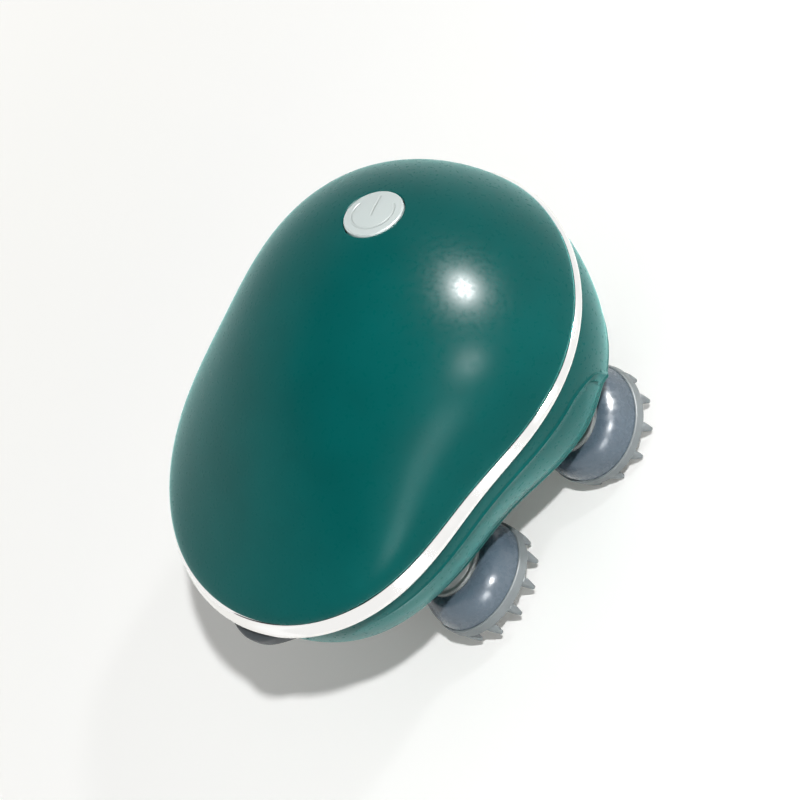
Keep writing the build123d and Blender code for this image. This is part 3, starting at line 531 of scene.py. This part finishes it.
class Finish:
    """A new material with its shader, and short ways to add and join nodes."""

    def __init__(self, name, colour, roughness, metallic=0.0, coat=0.0, coat_roughness=0.1):
        self.material = bpy.data.materials.new(name)
        self.material.use_nodes = True
        self.tree = self.material.node_tree
        self.shader = self.tree.nodes["Principled BSDF"]
        for socket, value in (
            ("Base Color", (*colour, 1)),
            ("Roughness", roughness),
            ("Metallic", metallic),
            ("Coat Weight", coat),
            ("Coat Roughness", coat_roughness),
        ):
            self.shader.inputs[socket].default_value = value

    def node(self, kind, *inputs, **settings):
        """Adds a node; numbers and sockets in inputs go to its inputs in order."""
        node = self.tree.nodes.new(kind)
        for name, value in settings.items():
            setattr(node, name, value)
        for socket, value in zip(node.inputs, inputs):
            self.feed(socket, value)
        return node

    def feed(self, socket, value):
        """Links a socket to another, or sets its number or colour."""
        if isinstance(value, bpy.types.NodeSocket):
            self.tree.links.new(value, socket)
        elif value is not None:
            socket.default_value = value

    def place(self, matrix=None):
        """Object coordinates, seen from a frame given by a matrix."""
        place = self.node("ShaderNodeTexCoord").outputs["Object"]
        if matrix is None:
            return place
        back = matrix.inverted()
        node = self.node("ShaderNodeMapping", place, vector_type="POINT")
        node.inputs["Location"].default_value = back.translation
        node.inputs["Rotation"].default_value = back.to_euler()
        return node.outputs[0]

    def maths(self, operation, *values):
        return self.node("ShaderNodeMath", *values, operation=operation).outputs[0]

    def length(self, vector):
        return self.node("ShaderNodeVectorMath", vector, operation="LENGTH").outputs["Value"]

    def noise(self, place, scale, detail=2.0):
        """Noise between 0 and 1 with so many cells in a metre."""
        node = self.node("ShaderNodeTexNoise", place)
        node.inputs["Scale"].default_value = scale
        node.inputs["Detail"].default_value = detail
        return node.outputs["Fac"]

    def spread(self, value, low, high, to_low=0.0, to_high=1.0):
        """Straight ramp from one range of values to another, held at its ends."""
        return self.node("ShaderNodeMapRange", value, low, high, to_low, to_high).outputs[0]

    def blend(self, share, first, second):
        """Colour between two others, given as red, green and blue."""
        node = self.node("ShaderNodeMix", data_type="RGBA")
        self.feed(node.inputs[0], share)
        for socket, colour in zip((node.inputs[6], node.inputs[7]), (first, second)):
            self.feed(socket, (*colour, 1))
        return node.outputs[2]

    def mottle(self, place, colour, dark, scale, detail=2.0):
        """Base colour that wanders between a colour and a darker share of it."""
        tone = self.spread(self.noise(place, scale, detail), 0.35, 0.65)
        self.colour(self.blend(tone, tuple(dark * c for c in colour), colour))

    def colour(self, socket):
        self.feed(self.shader.inputs["Base Color"], socket)

    def roughness(self, socket):
        self.feed(self.shader.inputs["Roughness"], socket)

    def bump(self, height, depth, strength, after=None):
        """Bump of a given depth in metres, on top of an earlier one if there is one."""
        node = self.node("ShaderNodeBump")
        node.inputs["Strength"].default_value = strength
        node.inputs["Distance"].default_value = depth
        self.feed(node.inputs["Height"], height)
        self.feed(node.inputs["Normal"], after)
        self.feed(self.shader.inputs["Normal"], node.outputs[0])
        return node.outputs[0]


def moulded_green(settings):
    """Deep teal satin plastic: two close tones, a slightly uneven gloss and a sheen at the edge."""
    finish = Finish("moulded_green", settings.green, 0.3)
    for socket, value in (
        ("Specular IOR Level", 0.07),
        ("Sheen Weight", 0.35),
        ("Sheen Roughness", 0.35),
        ("Sheen Tint", (0.3, 1.0, 0.94, 1)),
    ):
        finish.shader.inputs[socket].default_value = value
    place = finish.place()
    tone = finish.spread(finish.noise(place, scale=38.0, detail=3.0), 0.3, 0.7)
    finish.colour(finish.blend(tone, settings.green_deep, settings.green))
    finish.roughness(finish.spread(finish.noise(place, scale=900.0), 0.35, 0.65, 0.27, 0.34))
    return finish.material


def polished_trim(settings):
    """Bright plated trim with a slow waviness."""
    finish = Finish("polished_trim", settings.trim, 0.06, metallic=1.0)
    place = finish.place()
    gloss = finish.noise(place, scale=300.0, detail=3.0)
    finish.roughness(finish.spread(gloss, 0.3, 0.7, 0.04, 0.09))
    finish.bump(finish.noise(place, scale=60.0, detail=1.0), depth=0.00012, strength=0.5)
    return finish.material


def button_plastic(settings):
    """Satin light grey with a shallow pressed power sign: an open ring and a bar that starts inside
    it and ends in its gap, along the sign's own X axis. The sign's lines are also coloured darker,
    as painted shade in the pressed sign."""
    ring_radius, gap_start, gap_end = 0.0051, 0.95, 1.0
    bar_middle, bar_half, line_half, blur = 0.002, 0.0031, 0.00016, 0.00012
    finish = Finish("button_plastic", settings.button, 0.38, coat=0.2, coat_roughness=0.2)
    sign_turn = Matrix.Rotation(np.radians(37.0), 4, "Z")
    split = finish.node("ShaderNodeSeparateXYZ", finish.place(BUTTON @ sign_turn))
    x, y = split.outputs[0], split.outputs[1]
    radius = finish.length(finish.node("ShaderNodeCombineXYZ", x, y).outputs[0])
    off_ring = finish.maths("ABSOLUTE", finish.maths("SUBTRACT", radius, ring_radius))
    bearing = finish.maths("ABSOLUTE", finish.maths("ARCTAN2", y, x))
    near_ring = finish.spread(off_ring, line_half, line_half + blur, 1.0, 0.0)
    ring = finish.maths("MULTIPLY", near_ring, finish.spread(bearing, gap_start, gap_end))
    off_bar = finish.maths("ABSOLUTE", finish.maths("SUBTRACT", x, bar_middle))
    across = finish.spread(finish.maths("ABSOLUTE", y), line_half, line_half + blur, 1.0, 0.0)
    along = finish.spread(off_bar, bar_half, bar_half + 0.0002, 1.0, 0.0)
    sign = finish.maths("MAXIMUM", ring, finish.maths("MULTIPLY", across, along))
    # Painted shade: the pressed sign is coloured darker, standing in for the shade in its lines
    painted_sign_shade = tuple(0.78 * c for c in settings.button)
    finish.colour(finish.blend(finish.maths("MULTIPLY", sign, 0.6), settings.button, painted_sign_shade))
    grain = finish.noise(finish.place(), scale=1500.0, detail=1.0)
    first = finish.bump(grain, depth=0.00001, strength=0.4)
    finish.bump(finish.maths("SUBTRACT", 1.0, sign), depth=0.00015, strength=0.8, after=first)
    return finish.material


def slate_gloss(settings):
    """Glossy slate plastic with two close tones, an uneven gloss and a faint orange-peel."""
    finish = Finish("slate_gloss", settings.slate, 0.24, coat=0.15, coat_roughness=0.12)
    place = finish.place()
    gloss = finish.noise(place, scale=700.0, detail=4.0)
    finish.roughness(finish.spread(gloss, 0.4, 0.7, 0.22, 0.36))
    finish.mottle(place, settings.slate, dark=0.88, scale=90.0)
    finish.bump(finish.noise(place, scale=900.0), depth=0.00003, strength=0.4)
    return finish.material


def soft_silicone(settings):
    """Matt grey silicone, a little translucent, with fine mould grain."""
    finish = Finish("soft_silicone", settings.silicone, 0.55)
    place = finish.place()
    finish.mottle(place, settings.silicone, dark=0.9, scale=140.0)
    finish.bump(finish.noise(place, scale=1800.0), depth=0.00002, strength=0.6)
    finish.shader.inputs["Subsurface Weight"].default_value = 0.15
    finish.shader.inputs["Subsurface Radius"].default_value = (0.001, 0.001, 0.001)
    return finish.material


def plain_finish(name, colour, roughness, grain=900.0, depth=0.00002, metallic=0.0):
    """A plain moulded, turned or rubber finish with its own grain, given in cells in a metre."""
    finish = Finish(name, colour, roughness, metallic)
    place = finish.place()
    finish.mottle(place, colour, dark=0.88, scale=grain / 6, detail=3.0)
    gloss = finish.noise(place, scale=grain)
    finish.roughness(finish.spread(gloss, 0.3, 0.7, roughness - 0.06, roughness + 0.06))
    finish.bump(finish.noise(place, scale=2 * grain, detail=1.0), depth, strength=0.5)
    return finish.material


# ---- operators -------------------------------------------------------------------------------


class MASSAGER_OT_upper_shell(bpy.types.Operator):
    """Lay the domed upper shell with its button hole"""

    bl_idname = "massager.upper_shell"
    bl_label = "Upper shell"

    def execute(self, context):
        # The last station of each column is found by steps, so that the edge lies on the parting
        settings = context.scene.massager_casing
        angle = np.linspace(0, TURN, 288, endpoint=False)
        last = np.full_like(angle, np.pi / 2)
        for _ in range(12):
            x = dome_point(last, angle)[:, 0]
            need = SAG * ((x / HALF_LENGTH) ** 2 - 0.5)
            level = np.clip(need / (DOME_HEIGHT * (1 + DOME_LEAN * x / HALF_LENGTH)), 0, 1)
            last = np.arccos(level ** (1 / DOME_ROUNDNESS)) + np.maximum(-need, 0) / DOME_HEIGHT
        crowding = 0.9
        share = np.linspace(0, 1, 141)[1:, None] ** crowding
        grid = dome_point(share * last, angle[None, :])
        pole = dome_point(np.array(1e-6), np.array(0.0))
        shell = piece_of_grid("upper_shell", grid, top_pole=pole)
        thicken(shell, settings.shell_wall)
        radius = BUTTON_RADIUS + settings.button_gap / MM
        bore = turned([(radius, 4.0), (radius, -4.0)], 128, BUTTON)
        cut_with(shell, plug_of("button_bore", bore))
        dress(shell, "casing", "casing_green", moulded_green(settings), "top_shell")
        return {"FINISHED"}


class MASSAGER_OT_trim_ring(bpy.types.Operator):
    """Lay the bright trim ring round the parting line"""

    bl_idname = "massager.trim_ring"
    bl_label = "Trim ring"

    def execute(self, context):
        settings = context.scene.massager_casing
        back, seat = -RING_THICKNESS, -0.6
        groove = [
            (back, 0.0, 1.0),
            (back, 0.0, 0.0),
            (seat, 0.0, 0.0),
            (seat, 0.0, 0.0, 0.2),
            (-0.05, 0.0, 0.0, 0.24),
        ]
        face = [
            (0.12 + 0.1 * np.sin(np.pi * share), 0.9 * share, 0.8 * share**0.85, 0.3 * (1 - share))
            for share in np.linspace(0, 1, 11)
        ]
        nose = [
            (0.02, 0.96, 0.86),
            (-0.03, 1.0, 0.91),
            (-0.13, 1.0, 0.96),
            (-0.3, 1.0, 0.99),
            (seat, 1.0, 1.0),
        ]
        profile = [*groove, *face, *nose]
        angle = np.linspace(0, TURN, 480, endpoint=False)
        grid = np.stack([self.follow(angle, *point) for point in profile])
        ring = piece_of_grid("trim_band", grid[::-1], wrap_rows=True)
        face_outward(ring)
        dress(ring, "casing", "trim_chrome", polished_trim(settings), "trim_ring")
        return {"FINISHED"}

    def follow(self, angle, offset, lip, fall, drop=0.0):
        """Outline moved out along its normal by an offset and a share of the lip, under the upper
        shell's edge by a share of the ring's height and a further drop."""
        x, y = outline(angle)
        across, along = outward(outline, angle)
        width = (LIP_TAIL + LIP_NOSE) / 2 + (LIP_NOSE - LIP_TAIL) * x / (2 * HALF_LENGTH)
        reach = offset + lip * width
        x = x + reach * across
        return np.stack([x, y + reach * along, parting(x) - fall * ring_height(x) - drop], -1)


class MASSAGER_OT_lower_body(bpy.types.Operator):
    """Lay the lower shell with its grips and port seat, and the flat base cover"""

    bl_idname = "massager.lower_body"
    bl_label = "Lower shell and base cover"

    def execute(self, context):
        settings = context.scene.massager_casing
        green = bpy.data.materials.get("moulded_green") or moulded_green(settings)
        depth = settings.grip_depth / MM
        shell = piece_of_grid("lower_shell_skin", np.stack(side_rows(self.shell_heights, depth)))
        thicken(shell, settings.shell_wall)
        cut_with(shell, self.port_seat(front=-4.0, back=3.0, half=11.4, rise=2.7))
        dress(shell, "casing", "casing_green", green, "lower_shell")
        housing = self.housing()
        dress(housing, "casing", "casing_green", green)

        pan = self.cover_skin(depth)
        thicken(pan, settings.shell_wall)
        wells = [(x, y, SHAFT_WELL) for x, y, _ in HEADS.values()]
        wells += [(x, side * y, SCREW_WELL) for x, y in SCREWS for side in (-1, 1)]
        for x, y, radius in wells:
            bore = turned([(radius, 29.0), (radius, 24.0)], 64) + np.array([x, y, 0.0])
            cut_with(pan, plug_of("well", bore))
        dress(pan, "casing", "casing_green", green, "base_cover")
        return {"FINISHED"}

    def cover_skin(self, depth):
        """Upright edge, a rounding that draws in by 1 - cos(turn) as it sinks by sin(turn), and a
        flat floor that closes in its middle."""
        rows = side_rows(self.cover_heights, depth)
        edge, middle = rows[-1], np.array([-2.0, 0.0, COVER_BOTTOM])
        draw = 0.028
        for turn in np.radians(np.linspace(15, 90, 6)):
            drawn = edge + (middle - edge) * draw * (1 - np.cos(turn))
            drawn[:, 2] = COVER_BOTTOM + COVER_ROUNDING * (1 - np.sin(turn))
            rows.append(drawn)
        floor = rows[-1]
        rows += [floor + (middle - floor) * share for share in (0.1, 0.25, 0.5, 0.75, 0.95)]
        return piece_of_grid("base_cover_skin", np.stack(rows), bottom_pole=middle)

    def shell_heights(self, x):
        """Rows from the ring down to the seam, close together at the grip's edge."""
        top, edge = parting(x) - ring_height(x), grip_edge(np.minimum(x, GRIP_NOSE))
        above = [top + (edge + 1.2 - top) * share for share in np.linspace(0, 1, 12)]
        beside = [edge + step for step in EDGE_STEPS]
        below = edge - 1.7
        under = [below + (SEAM_HEIGHT - below) * share for share in np.linspace(0, 1, 14)]
        return above + beside + under

    def cover_heights(self, x):
        """Rows of the base cover's upright edge."""
        heights = (SEAM_HEIGHT, SEAM_HEIGHT - 0.12, COVER_BOTTOM + COVER_ROUNDING)
        return [height + 0 * x for height in heights]

    def port_seat(self, front, back, half, rise):
        """Box in the port's frame that opens the seat of the flap."""
        corners = np.array([(-half, -rise), (half, -rise), (half, rise), (-half, rise)])
        grid = np.stack([np.insert(corners, 0, depth, 1) for depth in (front, back)])
        middle = [placed(np.array([depth, 0.0, 0.0]), PORT) for depth in (front, back)]
        seat = piece_of_grid("port_seat", placed(grid, PORT), *middle)
        face_outward(seat)
        return seat

    def housing(self):
        """Tray behind the flap with the charging slot in its back wall: rounded rectangles, as
        superellipses of power 8, joined from depth to depth."""
        turn = np.linspace(0, TURN, 96, endpoint=False)
        cosine, sine = np.cos(turn), np.sin(turn)
        front, floor, back = 1.5, 3.0, 4.8
        pocket, slot, flange = (11.45, 2.75), (4.5, 1.6), (13.2, 4.5)
        loops = (
            (front, *pocket),
            (floor, *pocket),
            (floor, *slot),
            (back, *slot),
            (back, *flange),
            (front, *flange),
        )
        grid = []
        for depth, half, rise in loops:
            y = half * np.sign(cosine) * np.abs(cosine) ** 0.25
            z = rise * np.sign(sine) * np.abs(sine) ** 0.25
            grid.append(np.stack([np.full_like(y, depth), y, z], -1))
        tray = piece_of_grid("port_housing", placed(np.stack(grid), PORT), wrap_rows=True)
        face_outward(tray)
        return tray


class MASSAGER_OT_button_and_flap(bpy.types.Operator):
    """Lay the push button and the rubber flap of the charging port"""

    bl_idname = "massager.button_and_flap"
    bl_label = "Button and port flap"

    def execute(self, context):
        settings = context.scene.massager_casing
        inner = BUTTON_RADIUS - BUTTON_EDGE
        reach = inner * np.linspace(0.02, 1, 14)
        swell = BUTTON_CROWN * (1 - (reach / BUTTON_RADIUS) ** 2)
        crown = np.stack([reach, BUTTON_TOP + swell], -1)
        edge = corner((inner, BUTTON_TOP - 0.42), BUTTON_EDGE, 80, 0, 7)
        profile = np.vstack([crown, edge, (BUTTON_RADIUS, BUTTON_FOOT)])
        heights = (BUTTON_TOP + BUTTON_CROWN, BUTTON_FOOT)
        poles = [middle_point(height, BUTTON) for height in heights]
        cap = piece_of_grid("button_cap", turned(profile, 128, BUTTON), *poles)
        dress(cap, "button", "button_grey", button_plastic(settings), "power_button")
        rubber = plain_finish("flap_rubber", tuple(settings.rubber), 0.5)
        dress(self.flap(), "flap", "dark_rubber", rubber, "port_flap")
        return {"FINISHED"}

    def flap(self):
        """Bulging bar: at each y its section is a boxy superellipse, deeper in front by
        4.8 (1 - (y / 11) squared), with a plain back."""
        turn = np.linspace(0, TURN, 72, endpoint=False)
        cosine, sine = np.cos(turn), np.sin(turn)
        shape = np.sign(cosine) * np.abs(cosine) ** 0.5
        z = FLAP_RISE * np.sign(sine) * np.abs(sine) ** 0.42
        middle, back = 1.0, 1.6
        rows = []
        for y in FLAP_HALF * np.sin(np.linspace(-np.pi / 2, np.pi / 2, 61)[1:-1]):
            front = FLAP_BULGE * (1 - (y / FLAP_HALF) ** 2) + 0.2
            x = middle - np.where(shape > 0, front * shape, back * shape)
            rows.append(np.stack([x, np.full_like(x, y), z], -1))
        ends = [placed(np.array([middle, y, 0.0]), PORT) for y in (-FLAP_HALF, FLAP_HALF)]
        flap = piece_of_grid("flap_skin", placed(np.stack(rows), PORT), *ends)
        face_outward(flap)
        return flap


def head_frame(name):
    """Matrix of a head's pad face: its Z axis up the leaning head, its X axis up the lean. The pad
    is so high that the frame's lowest prong tip stands on the floor."""
    x, y, towards = HEADS[name]
    turn = np.radians(towards)
    reach = FRAME_PRONG_RING + FRAME_PRONG_TIP / 2
    level, rise = np.cos(HEAD_LEAN), np.sin(HEAD_LEAN)
    height = reach * rise + FRAME_PRONG_LENGTH * level
    along = (level * np.cos(turn), level * np.sin(turn), rise)
    up = (-rise * np.cos(turn), -rise * np.sin(turn), level)
    return frame_matrix((x, y, height), along, up)


class MASSAGER_OT_heads(bpy.types.Operator):
    """Lay the cups, hubs, soft pads and prongs of the massage heads"""

    bl_idname = "massager.heads"
    bl_label = "Massage heads"

    def execute(self, context):
        settings = context.scene.massager_heads
        slate, silicone = slate_gloss(settings), soft_silicone(settings)
        plastic = plain_finish("hub_plastic", tuple(settings.hub), 0.4)
        for name in HEADS:
            matrix = head_frame(name)
            self.cup(name, matrix, slate)
            self.pad(name, matrix, settings, silicone)
            self.hub(name, matrix, plastic)
        return {"FINISHED"}

    def cup(self, name, matrix, finish):
        """Quarter-ellipse dome from the pad's band up to a flat roof with a hole, with a wall."""
        outer = corner((9.0, CUP_FOOT), (4.9, 8.0), 0, 88, 24)
        roof = [(8.4, CUP_ROOF), (4.6, CUP_ROOF), (4.6, 8.8)]
        inner = corner((8.0, CUP_FOOT), (4.3, 6.4), 88, 0, 14)
        profile = np.vstack([outer, roof, inner, (12.6, CUP_FOOT)])
        cup = piece_of_grid("cup_" + name, turned(profile, 128, matrix)[::-1], wrap_rows=True)
        face_outward(cup)
        dress(cup, "head_" + name, "cup_slate", finish, "head_cup_" + name)

    def pad(self, name, matrix, settings, finish):
        """Disc with a band whose edges are rounded, and round-tipped tapered prongs."""
        radius = settings.pad_diameter / MM / 2
        profile = np.vstack(
            [
                (12.2, PAD_BAND - 0.1),
                corner((radius - PAD_LIP, PAD_BAND), PAD_LIP, 180, 0, 11),
                (radius, 2 * PAD_EDGE),
                corner((radius - PAD_EDGE, PAD_EDGE), PAD_EDGE, 0, -90, 7),
                (10.0, 0.0),
                (5.0, 0.0),
            ]
        )
        poles = [middle_point(height, matrix) for height in (PAD_BAND, 0.0)]
        disc = piece_of_grid("pad_" + name, turned(profile, 128, matrix), *poles)
        pieces = [disc, *self.prongs(matrix, settings)]
        with bpy.context.temp_override(
            active_object=disc,
            object=disc,
            selected_editable_objects=pieces,
            selected_objects=pieces,
        ):
            bpy.ops.object.join()
        dress(disc, "head_" + name, "pad_silicone", finish, "head_pad_" + name)

    def prongs(self, matrix, settings):
        """Prongs in their rings: a straight taper with a swell of sin(pi t), and a round tip."""
        base, tip = settings.prong_base / MM / 2, settings.prong_tip / MM / 2
        length = settings.prong_length / MM
        taper = np.array([0.2, 0.4, 0.6, 0.8])
        thick = base + (tip - base) * taper + PRONG_SWELL * np.sin(np.pi * taper)
        side = np.stack([thick, -taper * (length - tip)], -1)
        end = corner((0.0, -length + tip), tip, 0, -80, 6)
        shape = np.vstack([(base, PRONG_ROOT), (base, 0.0), side, end])
        pieces = []
        for count, ring in PRONG_RINGS:
            for index in range(count):
                turn = np.pi + TURN * index / count
                shift = np.array([ring * np.cos(turn), ring * np.sin(turn), 0.0])
                grid = placed(turned(shape, 24) + shift, matrix)
                ends = [placed(shift + (0.0, 0.0, z), matrix) for z in (PRONG_ROOT, -length)]
                pieces.append(piece_of_grid("prong", grid, *ends))
        return pieces

    def hub(self, name, matrix, finish):
        """Flange square to the cup, and a neck that blends from the leaning flange to the upright
        collar: each ring is the flange's ring moved toward the collar's, sideways by sin(t) and
        upward by 1 - cos(t), with t from 0 to a quarter turn."""
        x, y, _ = HEADS[name]
        rim = placed(turned([(8.6, 10.3), (8.6, 11.1), (8.4, 11.4), (8.0, 11.5)], 96), matrix)
        flange = rim[-1]
        angle = np.linspace(0, TURN, 96, endpoint=False)
        angle = angle + np.arctan2(flange[0, 1] - y, flange[0, 0] - x)
        around = (x + COLLAR_RADIUS * np.cos(angle), y + COLLAR_RADIUS * np.sin(angle))
        heights = (matrix.translation.z / MM + COLLAR_FOOT, COLLAR_TOP)
        collar, top = (np.stack([*around, np.full_like(angle, height)], -1) for height in heights)
        neck = []
        for turn in np.linspace(0, np.pi / 2, 12)[1:]:
            inward, upward = np.sin(turn), 1 - np.cos(turn)
            neck.append(flange + (collar - flange) * np.array([inward, inward, upward]))
        grid = np.concatenate([rim, np.stack([*neck, top])])
        poles = (np.array([x, y, COLLAR_TOP]), middle_point(CUP_ROOF, matrix))
        hub = piece_of_grid("hub_" + name, grid[::-1], *poles)
        dress(hub, "head_" + name, "hub_grey", finish, "head_hub_" + name)


class MASSAGER_OT_inner_finishes(bpy.types.Operator):
    """Give the pieces inside the casing their finishes"""

    bl_idname = "massager.inner_finishes"
    bl_label = "Inner finishes"

    def execute(self, context):
        kinds = {
            "white_acetal": plain_finish("gear_acetal", srgb("E6E5DF"), 0.45),
            "bronze": plain_finish("bush_bronze", srgb("B98B4A"), 0.35, 1400.0, 0.00003, 1.0),
            "steel": plain_finish("turned_steel", srgb("A9ABAE"), 0.28, 1800.0, 0.00001, 1.0),
            "board_green": plain_finish("board_laminate", srgb("155C3B"), 0.4),
            "switch_black": plain_finish("switch_black", srgb("1B1C1D"), 0.4),
            "battery_wrap": plain_finish("cell_wrap", srgb("2F5CA8"), 0.3),
            "dark_rubber": plain_finish("seal_rubber", srgb("2A2D2F"), 0.7),
            "hub_grey": bpy.data.materials["hub_plastic"],
            "casing_green": bpy.data.materials["moulded_green"],
            "trim_chrome": bpy.data.materials["polished_trim"],
            "button_grey": bpy.data.materials["button_plastic"],
            "cup_slate": bpy.data.materials["slate_gloss"],
            "pad_silicone": bpy.data.materials["soft_silicone"],
        }
        slots = {part["node"]: part["material_slot"] for part in frame["record"]["subparts"]}
        for node, piece in frame["nodes"].items():
            for index in range(len(piece.material_slots)):
                piece.material_slots[index].link = "OBJECT"
                piece.material_slots[index].material = kinds[slots[node]]
        return {"FINISHED"}


class MASSAGER_OT_stage(bpy.types.Operator):
    """Set the white floor, the softboxes and the camera"""

    bl_idname = "massager.stage"
    bl_label = "Stage"

    def execute(self, context):
        settings = context.scene.massager_stage
        scene = context.scene
        self.floor()
        self.room(scene, settings)
        key = self.softbox("key_box", (0.42, -0.8, 1.0), 1.6, 0.05, settings.key_power)
        key.visible_glossy = False
        for name, direction, size, share in (
            ("spark_box", (1.33, -0.56, 1.0), 0.06, 3.6),
            ("streak_box", (0.27, -0.84, 0.44), 0.2, 0.45),
            ("streak_tail_box", (-0.23, -0.93, 0.28), 0.3, 0.2),
        ):
            shine = self.softbox(name, direction, 1.1, size, settings.key_power * share)
            shine.visible_diffuse = False
        self.ceiling()
        self.camera(scene)
        scene.view_settings.view_transform = "Standard"
        return {"FINISHED"}

    def camera(self, scene):
        """Long lens from above the nose end's right side."""
        camera = bpy.data.objects.new("camera", bpy.data.cameras.new("camera"))
        scene.collection.objects.link(camera)
        camera.data.sensor_width = 36.0
        camera.data.lens = CAMERA_LENS
        camera.data.clip_start, camera.data.clip_end = 0.05, 20.0
        turn = Matrix(CAMERA_TURN).to_4x4()
        camera.matrix_world = Matrix.Translation(CAMERA_PLACE) @ turn
        scene.camera = camera

    def sheet(self, name, half, height, order=1):
        """Square face at a height, facing up, or down where order is -1."""
        corners = np.array([(-half, -half), (half, -half), (half, half), (-half, half)])
        points = np.insert(corners, 2, height, 1)
        return lay_mesh(name, points, [(0, 1, 2, 3)[::order]])

    def floor(self):
        """Flat pale sheet that shows the shadow near the object and fades farther out to plain
            white light, which only the camera, reflections and see-through pieces see. Near the
            object a faint warm glow, as painted light, lightens and warms the shadow."""
        near, far, pale = 0.16, 0.5, (0.9, 0.9, 0.89)
        floor = self.sheet("floor", 3000.0, 0.0)
        finish = Finish("white_sheet", pale, 0.95)
        share = finish.spread(finish.length(finish.place()), near, far)
        finish.colour(finish.blend(share, pale, (0.0, 0.0, 0.0)))
        path = finish.node("ShaderNodeLightPath")
        seen = finish.maths("MAXIMUM", *(path.outputs[name] for name in SEEN_BY[:2]))
        seen = finish.maths("MAXIMUM", seen, path.outputs[SEEN_BY[2]])
        # Painted light: near the object the glow is faint and warm, lightening and warming the
        # shadow
        light = finish.blend(share, (1.0, 0.985, 0.9), (1.0, 1.0, 1.0))
        finish.feed(finish.shader.inputs["Emission Color"], light)
        glow = finish.maths("MULTIPLY", seen, finish.spread(share, 0.0, 1.0, 0.12, 1.0))
        finish.feed(finish.shader.inputs["Emission Strength"], glow)
        floor.data.materials.append(finish.material)

    def ceiling(self):
        """Dark card overhead that only reflections see, which deepens the glossy tops."""
        card = self.sheet("ceiling", 900.0, 1100.0, order=-1)
        card.visible_camera = card.visible_diffuse = card.visible_shadow = False
        card.data.materials.append(Finish("dark_card", (0.02, 0.02, 0.02), 0.9).material)

    def room(self, scene, settings):
        """White room: full white to the camera and to reflections, softer as a light."""
        world = bpy.data.worlds.new("white_room")
        world.use_nodes = True
        scene.world = world
        tree = world.node_tree
        background = tree.nodes["Background"]
        path = tree.nodes.new("ShaderNodeLightPath")
        seen = path.outputs[SEEN_BY[0]]
        for other in SEEN_BY[1:]:
            node = tree.nodes.new("ShaderNodeMath")
            node.operation = "MAXIMUM"
            tree.links.new(seen, node.inputs[0])
            tree.links.new(path.outputs[other], node.inputs[1])
            seen = node.outputs[0]
        strength = tree.nodes.new("ShaderNodeMapRange")
        tree.links.new(seen, strength.inputs[0])
        strength.inputs[3].default_value = settings.world_light
        strength.inputs[4].default_value = 1.0
        background.inputs["Color"].default_value = (1, 1, 1, 1)
        tree.links.new(strength.outputs[0], background.inputs["Strength"])

    def softbox(self, name, direction, distance, size, power):
        """Square lamp in a direction and at a distance from the middle of the object, facing it."""
        aim = Vector(AIM)
        light = bpy.data.lights.new(name, "AREA")
        light.size, light.energy = size, power
        lamp = bpy.data.objects.new(name, light)
        lamp.location = aim + distance * Vector(direction).normalized()
        lamp.rotation_euler = (aim - lamp.location).to_track_quat("-Z", "Y").to_euler()
        bpy.context.scene.collection.objects.link(lamp)
        return lamp


class MASSAGER_PT_panel(bpy.types.Panel):
    """Sizes, colours and the steps that lay the massager's skins"""

    bl_label = "Scalp massager"
    bl_idname = "MASSAGER_PT_panel"
    bl_space_type = "VIEW_3D"
    bl_region_type = "UI"
    bl_category = "Massager"

    def draw(self, context):
        scene = context.scene
        for group in (scene.massager_casing, scene.massager_heads, scene.massager_stage):
            box = self.layout.box()
            for name in group.__annotations__:
                box.prop(group, name)
        for step in STEPS:
            self.layout.operator(step.bl_idname)


STEPS = (
    MASSAGER_OT_upper_shell,
    MASSAGER_OT_trim_ring,
    MASSAGER_OT_lower_body,
    MASSAGER_OT_button_and_flap,
    MASSAGER_OT_heads,
    MASSAGER_OT_inner_finishes,
    MASSAGER_OT_stage,
)
CLASSES = (CasingSettings, HeadSettings, StageSettings, *STEPS, MASSAGER_PT_panel)


def register():
    for kind in CLASSES:
        bpy.utils.register_class(kind)
    bpy.types.Scene.massager_casing = bpy.props.PointerProperty(type=CasingSettings)
    bpy.types.Scene.massager_heads = bpy.props.PointerProperty(type=HeadSettings)
    bpy.types.Scene.massager_stage = bpy.props.PointerProperty(type=StageSettings)


def unregister():
    del bpy.types.Scene.massager_casing
    del bpy.types.Scene.massager_heads
    del bpy.types.Scene.massager_stage
    for kind in reversed(CLASSES):
        bpy.utils.unregister_class(kind)


def main():
    register()
    for step in STEPS:
        group, name = step.bl_idname.split(".")
        getattr(getattr(bpy.ops, group), name)()


if __name__ == "__main__":
    main()
